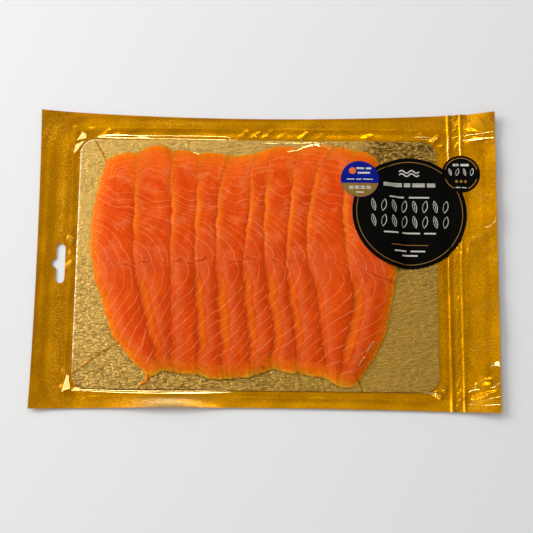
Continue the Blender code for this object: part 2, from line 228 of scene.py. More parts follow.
def rimRelief(x, y):
    # pleats, puckers and soft waves of the two films outside the card
    outside = -cardInside(x, y)
    away = ease(outside / 1.5)
    z = 0.08 * (1 - sealed(x, y))
    for line, width, height in pouch["pleats"]:
        middle = line + 0.25 * ripple(0 * x, y, 60, 3)
        z = z + height * bell((x - middle) * 2 / width)
    low, high = pouch["strip"]
    between = ease((x - low) / 0.8) * ease((high - x) / 0.8)
    z = z + 0.45 * between * np.maximum(ripple(x, y, 3.0, 5), 0)
    flap = ease((x - pouch["flapFrom"]) / 3)
    z = z + flap * (0.5 * ripple(x, y, 32, 6) + 0.1 * ripple(x, y, 12, 7))
    z = z + (1 - flap) * 0.035 * ripple(outside, 0.1 * (x - y), 9, 8)
    middle, half, height = pouch["lowLift"]
    curl = ramp((cardLow - y) / (halfY + cardLow))
    z = z + height * bell((x - middle) / half) * curl
    z = z + (1 - sealed(x, y)) * (1 - flap) * 0.04 * ripple(x, y, 8, 9, 1.4)
    for pleat in rimFolds:
        z = z + fold(x, y, *pleat)
    # the film climbs to the card's edge from both sides, and furthest just outside it
    under = pouch["skirtUnder"] * (1 - ease(-outside / 3))
    climb = under + (pouch["skirtRise"] - pouch["skirtUnder"]) * ease(outside / 0.9)
    skirt = climb * (1 - ease((outside - 0.8) / (skirtWidth(x, y) + pouch["goldSkirt"])))
    skirt = skirt * (1 - (1 - pouch["sideRise"]) * sideways(x, y) * away)
    return z * away + skirt * (1 + 0.12 * ripple(x, y, 17, 10) * away)


def backBottom(x, y):
    # height of the gold film's underside, never below the table
    return np.maximum(rimLift(x, y) + rimRelief(x, y), 0.0)


def slotOutside(x, y):
    # distance from the hanging slot, a round-ended slit with a round nub at its middle
    cx, cy = pouch["slotCentre"]
    half = pouch["slotWidth"] / 2
    reach = pouch["slotLength"] / 2 - half
    slit = np.hypot(x - cx, y - np.clip(y, cy - reach, cy + reach)) - half
    nub = np.hypot(x - cx + half, y - cy) - pouch["slotNub"]
    return np.minimum(slit, nub)


# The fan of slices


fan = {
    "levels": (0.0, 0.17, 0.33, 0.49, 0.77, 0.89, 1.0),
    "firstEdge": (-74, -96, -105, -112, -113, -110, -106),
    "bareWidths": (
        (8, 7, 16, 16, 18, 13, 16, 20, 6, 13),
        (21, 15, 17, 14, 18, 16, 14, 17, 15, 24),
        (24, 20, 16, 14, 17, 15, 14, 18, 23, 25),
        (27, 23, 16, 14, 17, 14, 14, 14, 26, 32),
        (27, 24, 16, 14, 21, 10, 17, 13, 21, 34),
        (24, 23, 18, 15, 19, 11, 17, 16, 19, 27),
        (21, 23, 17, 18, 18, 11, 18, 24, 12, 16),
    ),
    "headY": (65, 70, 72, 70, 69, 70, 74, 74, 75, 73, 68),
    "footY": (-79, -75, -76, -77, -80, -78, -73, -76, -79, -83, -82),
    "headBulge": (2, 4.5, 1.5, 1, -1, 0, 1.5, 2.5, 1, 1.5),
    "footBulge": (0, 0, 0.5, 1.5, 0.5, 0.5, 0.5, 0, 0.5, 2),
    "sideLine": (-6, -6, -4.5, -4, -3, -3, -2.5, -3, -4, -6.5, -15),
    "sideDrop": 2.6,
    "bed": 2.3,  # height that the slices lie on
    "crest": 5.4,
    "valley": 4.8,
    "lastRise": 0.3,
    "nose": 0.06,
    # width of the thin translucent rim of each slice, up to its crest, and how yellow it is
    "rimLow": (4.5, 6.2, 2.4, 5.6, 6.8, 5.6, 6.2, 5.0, 3.4, 7.0),
    "rimHigh": (3.0, 2.5, 2.2, 2.2, 2.6, 2.4, 2.4, 2.4, 2.6, 4.0),
    "yellowLow": (1.0, 0.9, 0.3, 1.0, 1.0, 0.95, 1.0, 0.9, 0.55, 0.95),
    "yellowHigh": (0.5, 0.75, 0.5, 0.3, 0.7, 0.5, 0.55, 0.5, 0.6, 0.8),
    "fallBend": 1.5,
    "tail": 0.5,
    "tailThick": 0.8,
    "gap": 0.08,
    "brim": 0.1,  # share of the height left at the outline, which grows inwards over brimWidth
    "brimWidth": 6.5,
    "lineDepth": 0.1,
    "lineHalf": 1.6,
    "length": 149.0,
    # how finely a slice is divided: its first columns, up to rimShare of its width, then the rest of
    # its bare part and its tail, and its rows between the close ones at both ends
    "rimShare": 0.06,
    "rimColumns": 4,
    "columns": 34,
    "tailColumns": 5,
    "endRows": (0, 0.002, 0.005, 0.01, 0.016, 0.024),
    "rowsFrom": 0.032,
    "rows": 170,
}
slices = len(fan["headBulge"])
last = slices - 1
edgeNumbers = np.arange(slices + 1)


def edgePlaces(v):
    # X of the eleven edges between slices at share v of their length, on a last axis
    widths = smoothThrough(fan["levels"], fan["bareWidths"], v)
    first = smoothThrough(fan["levels"], fan["firstEdge"], v)
    steps = np.concatenate([np.zeros(widths.shape[:-1] + (1,)), np.cumsum(widths, axis=-1)], -1)
    return first[..., None] + steps


def pick(table, i):
    # the entry of each point's own i on the last axis of a table
    return np.take_along_axis(table, i[..., None], -1)[..., 0]


def endPlaces(i, s):
    # Y of the foot and the head of slice i at share s of its width
    arch = 4 * s * (1 - s)
    head, foot = np.array(fan["headY"], float), np.array(fan["footY"], float)
    top = head[i] * (1 - s) + head[i + 1] * s + np.array(fan["headBulge"])[i] * arch
    low = foot[i] * (1 - s) + foot[i + 1] * s - np.array(fan["footBulge"])[i] * arch
    return low, top


def waver(x, y):
    # how far a point of the fish is off the smooth plan: slow waves, and torn flesh at the ends
    flatX, flatY = x * 0.1, y * 0.1
    dx = 0.35 * ripple(flatX, y, 15, 21) + 0.15 * ripple(flatX, y, 5, 25)
    dy = 0.35 * ripple(x, flatY, 9, 22) + 0.1 * ripple(x, flatY, 4, 26)
    dx = dx + 0.2 * ripple(flatX, y, 2.4, 28)
    dy = dy + 0.14 * ripple(x, y, 2.4, 29)
    return dx, dy


def fanSpot(i, s, v):
    # X and Y of a point of slice i
    i, s, v = np.broadcast_arrays(i, s, v)
    edges = edgePlaces(v)
    left, right = pick(edges, i), pick(edges, i + 1)
    low, top = endPlaces(i, s)
    x = left * (1 - s) + right * s
    y = low * (1 - v) + top * v
    dx, dy = waver(x, y)
    return x + dx, y + dy


def fanPlace(x, y):
    # the slice, the share of its width and the share of its length at X and Y, found by
    # correcting a first guess a few times. Shares run past 0 and 1 outside the fish
    v = np.clip((y - fan["footY"][0]) / fan["length"], 0, 1)
    for _ in range(6):
        edges = edgePlaces(np.clip(v, 0, 1))
        i = np.clip((x[..., None] >= edges).sum(-1) - 1, 0, last)
        left, right = pick(edges, i), pick(edges, i + 1)
        s = (x - left) / (right - left)
        low, top = endPlaces(i, np.clip(s, 0, 1))
        v = (y - low) / (top - low)
    return i, s, v


def brim(inward):
    # share of the full height that is left so many millimetres inside the outline: what is missing
    # shrinks exponentially
    return 1 - (1 - fan["brim"]) * np.exp(-np.maximum(inward, 0) / fan["brimWidth"])


def thinning(v):
    # the brim at a slice's two round ends
    return brim(np.minimum(v, 1 - v) * fan["length"])


def aboveLine(i, s, y):
    # distance above the fish's side line, which drops a little across each slice
    s = np.clip(s, 0, 1)
    line = np.interp(i + s, edgeNumbers, fan["sideLine"]) + fan["sideDrop"] * (0.5 - s)
    return y - line - 0.6 * ripple(7.0 * i + 9 * s, 0 * y, 11, 27)


def bareWidth(i, v):
    # how much of slice i's width lies bare at share v of its length
    return pick(smoothThrough(fan["levels"], fan["bareWidths"], v), i)


def lowHalf(above):
    # 1 in the half below the side line and 0 above it, with a soft change
    return ease((3 - above) / 9)


def lens(above):
    # swells from nothing at the side line to 1 and shrinks again towards the foot
    return ease((-above - 1) / 18) * (1 - 0.8 * ease((-above - 50) / 18))


def rimWidth(i, above):
    # width of the rim: even above the side line, and lens-shaped below it
    low, high = np.array(fan["rimLow"])[i], np.array(fan["rimHigh"])[i]
    return high * (1 - 0.3 * lowHalf(above)) + (low - 0.7 * high) * lens(above)


def backHeight(i, s, v, x, y):
    # height over the bed of slice i's bare face: its rim rises from the left edge to a crest,
    # and the face falls slowly to the dip beside the next slice
    width = bareWidth(i, np.clip(v, 0, 1))
    above = aboveLine(i, s, y)
    crestAt = np.clip(rimWidth(i, above) / width, 0.1, 0.5)
    crest = fan["crest"] + fan["lastRise"] * (i == last)
    calm = 0.06 + 0.94 * ease((1 - v) * fan["length"] / 44)
    climb = np.where(i == 0, 1.0, 0.4 * np.clip(s / crestAt, 0, 1) + 0.6 * ease(s / crestAt))
    fall = np.clip((s - crestAt) / (1 - crestAt), 0, 1) ** fan["fallBend"]
    low = fan["valley"] + fan["nose"]
    height = low + calm * ((crest - low) * climb - (crest - fan["valley"]) * fall)
    share = thinning(v) * np.where(i == 0, brim(s * width), 1)
    share = share * np.where(i == last, brim((1 - s) * width), 1)
    groove = fan["lineDepth"] * bell(above / fan["lineHalf"])
    groove = groove * (0.5 + 0.5 * ripple(x, y, 12, 30))
    soft = 0.2 * ripple(x, y, 21, 23) + 0.07 * ripple(x, y, 7, 24)
    inner = np.clip(np.minimum(s, 1 - s) / 0.12, 0, 1) * share
    return height * share - groove * share + soft * inner


def tailHeight(s, v):
    # height of the hidden tail that runs on under the next slice
    valley, thick = fan["valley"], fan["tailThick"]
    return (valley + (thick - valley) * s / fan["tail"]) * thinning(v)


# a thin strand torn off the first slice's lower corner: X, Y, thickness
strand = {
    "path": (
        (-75.2, -77.0, 2.4), (-74.6, -80.0, 1.8), (-75.8, -82.0, 1.4), (-78.0, -83.2, 1.2),
        (-80.0, -84.6, 0.6),
    ),
    "flat": 0.6,
    "rings": 28,
    "spokes": 12,
    # what the strand's material reads there. All else is 0
    "numbers": {
        "nearEnd": 2.0, "across": 12.0, "aboveLine": -70.0, "below": 1.0, "pitchLow": 9.0,
        "seamLow": 0.5, "dome": -20.0,
    },
}


def strandLine(count):
    knots = np.linspace(0, 1, len(strand["path"]))
    return smoothThrough(knots, strand["path"], np.linspace(0, 1, count))


def strandTube():
    # rings of points along the strand, closed by its first and last ring drawn to nothing
    rings, spokes = strand["rings"], strand["spokes"]
    line = strandLine(rings)
    ahead = np.gradient(line[:, :2], axis=0)
    ahead /= np.hypot(*ahead.T)[:, None]
    angles = np.linspace(0, 2 * math.pi, spokes, endpoint=False)
    thick = line[:, 2:] / 2
    thick[[0, -1]] *= 0.01
    off = thick * np.cos(angles)
    x = line[:, :1] - ahead[:, 1:] * off
    y = line[:, 1:2] + ahead[:, :1] * off
    z = card["top"] + 0.1 + strand["flat"] * thick * (1 + np.sin(angles))
    at = np.arange(rings * spokes).reshape(rings, spokes)
    after = np.roll(at, -1, axis=1)
    quads = np.stack([at[:-1], after[:-1], after[1:], at[1:]], -1).reshape(-1, 4)
    return np.stack([x, y, z], -1).reshape(-1, 3), quads


# The lie of the clear film, worked out on a half-millimetre raster


raster = {"step": 0.5, "over": 0.1, "reach": 0.5, "soften": 0.45}
rasterX = np.arange(-halfX, halfX + raster["step"] / 2, raster["step"])
rasterY = np.arange(-halfY, halfY + raster["step"] / 2, raster["step"])
gridX, gridY = np.meshgrid(rasterX, rasterY)


def spread(heights, reach):
    # the highest of what lies within reach millimetres
    cells = int(round(reach / raster["step"]))
    best = heights.copy()
    for dy in range(-cells, cells + 1):
        for dx in range(-cells, cells + 1):
            if 0 < dx * dx + dy * dy <= cells * cells:
                best = np.maximum(best, np.roll(heights, (dy, dx), (0, 1)))
    return best


def soften(heights, sigma):
    # a Gaussian average along both axes
    cells = sigma / raster["step"]
    offsets = np.arange(-int(3 * cells + 1), int(3 * cells + 1) + 1)
    weights = np.exp(-0.5 * (offsets / cells) ** 2)
    weights /= weights.sum()
    for axis in (0, 1):
        pad = [(0, 0), (0, 0)]
        pad[axis] = (len(offsets) // 2, len(offsets) // 2)
        wide = np.pad(heights, pad, mode="edge")
        heights = sum(
            weight * np.take(wide, range(k, k + heights.shape[axis]), axis)
            for k, weight in enumerate(weights)
        )
    return heights


def sample(heights, x, y):
    # the raster's height between its points
    column = np.clip((x - rasterX[0]) / raster["step"], 0, len(rasterX) - 1.001)
    row = np.clip((y - rasterY[0]) / raster["step"], 0, len(rasterY) - 1.001)
    c, r = column.astype(int), row.astype(int)
    tx, ty = column - c, row - r
    near = heights[r, c] * (1 - tx) + heights[r, c + 1] * tx
    far = heights[r + 1, c] * (1 - tx) + heights[r + 1, c + 1] * tx
    return near * (1 - ty) + far * ty


print("laying the clear film over the fish")
offX, offY = waver(gridX, gridY)
sliceAt, shareAt, lengthAt = fanPlace(gridX - offX, gridY - offY)
onFish = (shareAt >= 0) & (shareAt <= 1) & (lengthAt >= 0) & (lengthAt <= 1)
fishTop = backHeight(sliceAt, np.clip(shareAt, 0, 1), np.clip(lengthAt, 0, 1), gridX, gridY)
fishTop = np.where(onFish, fishTop + fan["bed"], 0.0)
cardTop = np.where(cardInside(gridX, gridY) > 0, card["top"], 0.0)
rimTop = backBottom(gridX, gridY) + pouch["backThick"]
down = np.clip(-cardInside(gridX, gridY) / (skirtWidth(gridX, gridY) + 0.8), 0, 1)
fallen = smoothThrough(pouch["skirtOut"], pouch["skirtFall"], down)
tent = card["top"] + (pouch["backThick"] - card["top"]) * fallen
contents = np.maximum(np.maximum(fishTop, cardTop), np.where(down < 1, tent, 0.0))
for strandX, strandY, thick in strandLine(60):
    away = np.hypot(gridX - strandX, gridY - strandY)
    level = card["top"] + 0.15 + strand["flat"] * thick
    contents = np.maximum(contents, np.where(away < thick / 2 + 0.5, level, 0.0))

clearTop = spread(contents, raster["reach"])
clearTop = np.maximum(clearTop, rimTop)
clearTop = soften(clearTop, raster["soften"])
clearTop = np.maximum(clearTop, np.maximum(contents, rimTop)) + raster["over"]


# Meshes


def gridQuads(rows, columns):
    # the corners of each cell of a grid, anticlockwise from above
    at = np.arange(rows * columns).reshape(rows, columns)
    return np.stack([at[:-1, :-1], at[:-1, 1:], at[1:, 1:], at[1:, :-1]], -1).reshape(-1, 4)


def cloud(x, y, z):
    # three grids as a list of points
    return np.stack([x, y, z], -1).reshape(-1, 3)


def joined(shapes):
    # several shapes, each with its points and cells, as one
    points, cells, start = [], [], 0
    for flat, quads in shapes:
        points.append(flat)
        cells.append(quads + start)
        start += len(flat)
    return np.concatenate(points), np.concatenate(cells)


def trimmedGrid(xs, ys, inside):
    # the cells of a grid whose middle is inside an outline. Corners between a kept and a dropped
    # cell move onto the outline, against the slope of the distance
    x, y = [a.ravel() for a in np.meshgrid(xs, ys)]
    quads = gridQuads(len(ys), len(xs))
    kept = inside(x[quads].mean(1), y[quads].mean(1)) > 0
    onEdge = np.zeros(len(x), bool)
    onEdge[np.intersect1d(quads[kept], quads[~kept])] = True
    step = 0.01
    for _ in range(3):
        ex, ey = x[onEdge], y[onEdge]
        d = inside(ex, ey)
        slopeX = (inside(ex + step, ey) - inside(ex - step, ey)) / (2 * step)
        slopeY = (inside(ex, ey + step) - inside(ex, ey - step)) / (2 * step)
        steep = np.maximum(slopeX**2 + slopeY**2, 0.25)
        x[onEdge] = ex - d * slopeX / steep
        y[onEdge] = ey - d * slopeY / steep
    used, quads = np.unique(quads[kept], return_inverse=True)
    return x[used], y[used], quads.reshape(-1, 4)


def thickened(top, low, quads):
    # a closed skin: upper cells, lower cells turned over, and a wall along every open edge
    count = len(top)
    starts = quads.ravel()
    ends = np.roll(quads, -1, axis=1).ravel()
    free = ~np.isin(starts * count + ends, ends * count + starts)
    a, b = starts[free], ends[free]
    walls = np.stack([b, a, a + count, b + count], 1)
    return np.concatenate([top, low]), np.concatenate([quads, quads[:, ::-1] + count, walls])


def addPiece(name, points, cells, materials, numbers=(), materialOf=None, sharp=60):
    # an object of these points and cells, with numbers kept on its points for its material. Those
    # given for the upper half alone are repeated. A cell with one corner twice is a triangle
    mesh = bpy.data.meshes.new(name)
    corners = np.asarray(cells).tolist()
    corners = [[c for k, c in enumerate(cell) if cell[k - 1] != c] for cell in corners]
    mesh.from_pydata((np.asarray(points, float) * mm).tolist(), [], corners)
    for key, values in dict(numbers).items():
        layer = mesh.attributes.new(key, "FLOAT", "POINT")
        layer.data.foreach_set("value", np.resize(values, len(points)).astype(np.float32))
    for material in materials:
        mesh.materials.append(material)
    if materialOf is not None:
        mesh.polygons.foreach_set("material_index", np.asarray(materialOf, np.int32))
    mesh.shade_smooth()
    mesh.set_sharp_from_angle(angle=math.radians(sharp))
    mesh.update()
    piece = bpy.data.objects.new(name, mesh)
    bpy.context.scene.collection.objects.link(piece)
    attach(piece, "root")
    return piece


# Materials


def paint(*screen):
    # a colour read off a screen, as linear numbers
    parts = [c / 255 for c in screen]
    return tuple(c / 12.92 if c <= 0.04 else ((c + 0.055) / 1.055) ** 2.4 for c in parts) + (1.0,)


tree = None  # the node tree that the functions below add to


def newMaterial(name):
    global tree
    material = bpy.data.materials.new(name)
    material.use_nodes = True
    tree = material.node_tree
    return material


def put(socket, value):
    if isinstance(value, bpy.types.NodeSocket):
        tree.links.new(value, socket)
    else:
        socket.default_value = value


def finished(material, inputs):
    # the material with these inputs of its shader set
    for key, value in inputs.items():
        put(tree.nodes["Principled BSDF"].inputs[key], value)
    return material


def node(kind, inputs=(), output=0, **settings):
    made = tree.nodes.new("ShaderNode" + kind)
    for key, value in settings.items():
        setattr(made, key, value)
    for key, value in dict(inputs).items():
        put(made.inputs[key], value)
    return made.outputs[output]


def calc(operation, a, b=0.0, c=0.0):
    return node("Math", {0: a, 1: b, 2: c}, operation=operation)


def plus(a, b):
    return calc("ADD", a, b)


def minus(a, b):
    return calc("SUBTRACT", a, b)


def scaled(a, by, more):
    # a times by, and more
    return calc("MULTIPLY_ADD", a, by, more)


def times(first, *others):
    # the product of all of them
    for other in others:
        first = calc("MULTIPLY", first, other)
    return first


def mapped(value, low, high, outLow=0.0, outHigh=1.0):
    # value from low to high becomes outLow to outHigh along an S curve
    inputs = {"Value": value, "From Min": low, "From Max": high, "To Min": outLow, "To Max": outHigh}
    return node("MapRange", inputs, interpolation_type="SMOOTHSTEP")


def mixColour(share, first, second, blend="MIX"):
    made = tree.nodes.new("ShaderNodeMix")
    made.data_type, made.blend_type = "RGBA", blend
    for k, value in ((0, share), (6, first), (7, second)):
        put(made.inputs[k], value)
    return made.outputs[2]


def shaded(colour, shade):
    # the colour times a grey
    return mixColour(1.0, colour, node("CombineColor", {0: shade, 1: shade, 2: shade}), "MULTIPLY")


def number(name):
    return node("Attribute", output=2, attribute_name=name)


def place(scale=(1000.0, 1000.0, 1000.0), turn=0.0):
    # the piece's own coordinates, in millimetres unless scaled otherwise
    inputs = {"Vector": node("TexCoord", output=3), "Scale": scale, "Rotation": (0, 0, math.radians(turn))}
    return node("Mapping", inputs)


def apart(where):
    # X and Y of a place
    return [node("SeparateXYZ", {0: where}, k) for k in (0, 1)]


def noise(where, scale, detail=2.0, rough=0.5, twist=0.0):
    inputs = {"Vector": where, "Scale": scale, "Detail": detail, "Roughness": rough, "Distortion": twist}
    return node("TexNoise", inputs)


def bump(height, depth, strength=1.0, under=None):
    inputs = {"Height": height, "Distance": depth, "Strength": strength}
    if under is not None:
        inputs["Normal"] = under
    return node("Bump", inputs)


# Salmon


flesh = {
    "light": paint(237, 87, 8),
    "deep": paint(224, 70, 2),
    # painted shade: the darker orange laid in the crevice beside the next slice, along each slice's left
    # edge and in the groove of the side line
    "dip": paint(206, 62, 0),
    "rim": paint(232, 110, 0),
    "band": paint(250, 116, 6),
    "crown": paint(244, 104, 12),
    "streak": paint(248, 128, 44),
    "lobe": paint(222, 88, 40),
    # pale pink of random blotches in the upper half, and painted highlight: the sheen on each slice's crest
    "crestSheenAndBlotch": paint(238, 110, 52),
    "outer": paint(233, 107, 0),
    # painted light: a lighter outer colour for the side away from the window
    "outerPaintedLight": paint(255, 122, 0),
    "edge": paint(238, 142, 8),
    # painted light: a lighter edge colour for the side away from the window
    "edgePaintedLight": paint(255, 190, 44),
    "seam": paint(255, 146, 84),
    "spot": paint(150, 30, 6),
    "seamCore": 0.12,
    "seamSoft": 0.28,
    "streakCore": 0.3,
    "streakSoft": 1.1,
    "roughness": 0.55,
    "scatter": 0.4,
    "scatterReach": (3.0, 0.7, 0.2),
}


def seamMask(family, where, core, soft):
    # 1 on the pale lines of a family, which lie where its count is whole. The pitch turns a share
    # of a count into millimetres
    wander = scaled(noise(where, 0.07, 1.0), 0.5, -0.25)
    lines = plus(number("seam" + family), wander)
    nearest = calc("ROUND", lines)
    off = calc("ABSOLUTE", minus(lines, nearest))
    off = times(off, number("pitch" + family))
    mask = mapped(off, core, core + soft, 1.0, 0.0)
    own = plus(nearest, number("sliceNumber"))
    own = node("TexWhiteNoise", {"W": own}, noise_dimensions="1D")
    patchy = mapped(noise(where, 0.11, 2.0), 0.36, 0.56, 0.45, 1.0)
    return times(mask, scaled(own, 0.4, 0.6), patchy)


def makeSalmon():
    material = newMaterial("smoked salmon")
    where = place()
    above = number("aboveLine")
    nearEnd = number("nearEnd")
    across = number("across")
    below = number("below")
    higher = minus(1.0, below)
    crown = number("crown")
    upper = calc("GREATER_THAN", above, 0.0)
    lower = minus(1.0, upper)
    core, soft = flesh["seamCore"], flesh["seamSoft"]
    seamUp = times(seamMask("Up", where, core, soft), number("forceUp"), upper)
    seamLow = times(seamMask("Low", where, core, soft), lower)
    seam = times(plus(seamUp, seamLow), minus(1.0, crown))
    seam = times(seam, mapped(nearEnd, 0.5, 4.0, 0.1, 1.0))
    streak = seamMask("Round", where, flesh["streakCore"], flesh["streakSoft"])

    patches = noise(where, 0.06, 3.0, 0.5)
    mottle = noise(where, 0.17, 3.0, 0.6)
    speckle = noise(where, 0.6, 4.0, 0.75)
    ragged = minus(noise(where, 0.55, 5.0, 0.8), 0.5)
    tone = scaled(mottle, 0.5, times(patches, 0.5))
    colour = mixColour(mapped(tone, 0.38, 0.62), flesh["deep"], flesh["light"])

    def over(share, key):
        # the colour so far, with a share of another of the fish's colours
        return mixColour(share, colour, flesh[key])

    dome = scaled(ragged, 4.0, number("dome"))
    dome = scaled(minus(mottle, 0.5), 12.0, dome)
    domed = number("domed")
    colour = over(times(mapped(dome, -7.0, 6.0, 0.4, 0.0), domed), "crown")
    colour = over(times(streak, crown, 0.5), "streak")
    # random blotches of this pale pink in the upper half
    blotch = mapped(noise(where, 0.11, 3.0, 0.6), 0.5, 0.64, 0.0, 0.6)
    colour = over(times(blotch, higher), "crestSheenAndBlotch")
    lobe = times(number("lobe"), mapped(speckle, 0.35, 0.65, 0.25, 0.85))
    colour = over(lobe, "lobe")
    pastRim = minus(across, number("rimWidth"))
    pastRim = scaled(ragged, 2.0, pastRim)
    # painted highlight: a pale pink sheen on the crest just past the rim, in the lower half
    haze = times(mapped(pastRim, 0.0, 1.2), mapped(pastRim, 1.5, 8.0, 1.0, 0.0))
    haze = times(haze, mapped(speckle, 0.35, 0.65, 0.25, 0.9), below)
    colour = over(times(haze, number("crestSheenAndBlotch")), "crestSheenAndBlotch")
    rough = scaled(ragged, 5.0, across)
    rough = scaled(minus(mottle, 0.5), 8.0, rough)
    band = times(mapped(rough, -0.8, 0.8), mapped(rough, 0.8, 6.0, 1.0, 0.0))
    colour = over(times(band, higher, number("bandUp")), "band")
    # painted shade in the crevice where each slice dips under the next
    colour = over(times(number("dip"), 0.9), "dip")
    # painted shadow along each slice's left edge, in the lower half
    band = times(mapped(pastRim, -1.8, 0.6, 1.0, 0.0), number("bare"), below)
    shadow = times(band, mapped(across, 0.0, 3.0, 0.8, 0.0))
    colour = over(shadow, "dip")
    band = times(band, number("yellow"), mapped(across, 0.2, 4.2, 0.0, 0.74))
    colour = over(band, "rim")
    # painted light: the rim is painted a lighter orange towards the lower right, away from the window, to
    # offset the shade there
    alongX, alongY = apart(where)
    far = mapped(minus(times(alongX, 0.7), alongY), -60.0, 85.0)
    outline = scaled(ragged, 10.0, nearEnd)
    outer = mixColour(far, flesh["outer"], flesh["outerPaintedLight"])
    colour = mixColour(mapped(outline, 1.0, 12.0, 0.85, 0.0), colour, outer)
    grain = noise(where, 1.6, 3.0, 0.7)
    outline = scaled(ragged, 18.0, nearEnd)
    outline = scaled(minus(grain, 0.5), 9.0, outline)
    # painted light on the edge too, lighter away from the window
    edge = mixColour(far, flesh["edge"], flesh["edgePaintedLight"])
    colour = mixColour(mapped(outline, -1.6, 3.0, 0.95, 0.0), colour, edge)
    colour = over(number("spot"), "spot")
    # painted shade along the groove of the side line
    crease = scaled(noise(where, 0.12, 4.0), 9.0, -4.5)
    crease = calc("ABSOLUTE", plus(above, crease))
    broken = mapped(noise(where, 0.13, 2.0), 0.44, 0.58, 0.0, 0.75)
    colour = over(times(mapped(crease, 0.2, 2.2, 1.0, 0.0), broken), "dip")
    lips = calc("ABSOLUTE", minus(crease, 1.6))
    lips = times(mapped(lips, 0.1, 0.6, 0.55, 0.0), broken)
    arch = mapped(calc("ABSOLUTE", number("dome")), 0.1, 0.7, 0.8, 0.0)
    arch = times(arch, mapped(mottle, 0.4, 0.54, 0.2, 1.0), domed)
    pale = calc("MAXIMUM", calc("MAXIMUM", seam, arch), lips)
    pale = times(pale, mapped(above, -4.0, 4.0, 0.6, 0.74))
    colour = over(pale, "seam")
    shade = times(mapped(grain, 0.3, 0.7, 0.84, 1.14), mapped(above, -10.0, 6.0, 0.965, 1.0))
    return finished(material, {
        "Base Color": shaded(colour, shade),
        "Normal": bump(grain, 0.00016, 1.0, bump(pale, 0.0001)),
        "Roughness": flesh["roughness"],
        "Subsurface Weight": flesh["scatter"],
        "Subsurface Radius": flesh["scatterReach"],
        "Subsurface Scale": mm,
        "Specular IOR Level": 0.05,
    })


# The seams of the upper half hang from the left edge and bend down to the side line, as the quarter
# of an oval does: height of each on the left edge, and how far right it would reach the side line
upperSeams = {
    "heights": (53.5, 47.6, 42.2, 38.8, 36.2, 33.8, 31.4, 29.2, 26.5, 21.5, 15, 8.5),
    "reaches": (150, 135, 118, 95, 78, 60, 44, 33, 26, 19.5, 13.5, 7.5),
    "force": (0.8, 1.0, 0.95, 0.55, 0.45, 0.5, 0.5, 0.6, 0.95, 1.0, 1.0, 0.9),
    "bend": 1.6,
    "drop": 0.6,
    "hook": 3.2,  # how far they turn back to the left where they meet the side line
    "hookHeight": 3.5,
}
# those of the lower half leave the side line upright and turn to slant down to the left
lowerSeams = {
    "slopes": (0.78, 0.74, 0.65, 0.62, 0.62, 0.6, 0.6, 0.6, 0.62, 0.78),
    "pitches": (6.0, 6.6, 7.0, 7.2, 7.0, 6.8, 7.0, 7.0, 7.2, 8.2),
    "starts": (0.3, 0.75, 0.1, 0.55, 0.9, 0.35, 0.0, 0.6, 0.2, 0.8),
    "turn": 6.5,
    "round": 8.5,
    "rimSteep": 1.6,
    "rimWidth": 3.6,
    "farSteep": 0.9,
}
# and faint ones run round inside the head, one inside the other, with a single one at the foot.
# The face ends in a dome below them: how far its top and its two feet lie below the head
roundSeams = {
    "pitch": 3.4,
    "domeTop": 14.0,
    "domeFall": 14.0,
    "domed": (1.0, 1.0, 0.9, 0.7, 0.7, 0.4, 0.3, 0.3, 0.25, 0.2),  # how clearly each slice shows it
    "footPitch": 6.0,
    "footDepth": 8.0,
}


def upperLines(i, across, above):
    # counts the seams passed on the way down: the share of the way between each and the next
    draw = np.random.default_rng(60 + i)
    count = len(upperSeams["heights"])
    heights = np.array(upperSeams["heights"]) * draw.normal(1, 0.018, count) + draw.uniform(-1.5, 1.5)
    reaches = np.array(upperSeams["reaches"]) * draw.normal(1, 0.07, count)
    share = across / fan["bareWidths"][5][i]
    bow = draw.uniform(2.5, 4.5) * ease(share / 0.6)
    bow = bow - draw.uniform(1.5, 3.5) * ease((share - 0.6) / 0.4)
    hook = upperSeams["hook"] * np.exp(-np.maximum(above, 0) / upperSeams["hookHeight"])
    across = np.maximum(across, 0) + hook
    places = []
    for height, reach in zip(np.sort(heights)[::-1], np.sort(reaches)[::-1]):
        q = 1 - (across / reach) ** upperSeams["bend"]
        level = height * np.sign(q) * np.abs(q) ** upperSeams["drop"]
        places.append(level - bow * ease((height - 33) / 10))
    total = np.clip((places[0] - above) / 4, -0.7, 0)
    for upper, lower in zip(places, places[1:]):
        total = total + np.clip((upper - above) / np.maximum(upper - lower, 0.4), 0, 1)
    return total + np.clip((places[-1] - above) / 7, 0, 1) * 0.9


def lowerLines(i, across, above):
    # slant and upright join along a hyperbola
    rimWide, bend = lowerSeams["rimWidth"], lowerSeams["round"]
    inRim = 1 - np.exp(-np.maximum(across, -3) / rimWide)
    steep = 0.9 * (across + lowerSeams["rimSteep"] * rimWide * inRim)
    steep = steep + lowerSeams["farSteep"] * np.maximum(across, 0) ** 2 / (2 * fan["bareWidths"][3][i])
    turned = np.hypot(-above - lowerSeams["turn"], bend) - bend
    return (lowerSeams["slopes"][i] * steep + turned) / lowerSeams["pitches"][i] + lowerSeams["starts"][i]


# dark flecks at the foot: X, Y, radius
spots = ((-1.0, -72.5, 0.9), (9.5, -75.5, 1.1), (21.0, -75.5, 0.9), (36.0, -79.0, 1.0), (-37, -73, 0.6))


def spotsAt(x, y):
    marks = [bell((x - sx) / (1.6 * r)) * bell((y - sy) / r) for sx, sy, r in spots]
    return 0.75 * np.maximum.reduce(marks)


def lineSpacing(lines, i, across, above):
    # millimetres from one seam to the next: one over the slope of the count
    step = 0.25
    alongX = (lines(i, across + step, above) - lines(i, across - step, above)) / (2 * step)
    alongY = (lines(i, across, above + step) - lines(i, across, above - step)) / (2 * step)
    return np.clip(1 / np.maximum(np.hypot(alongX, alongY), 1e-3), 1.2, 14)


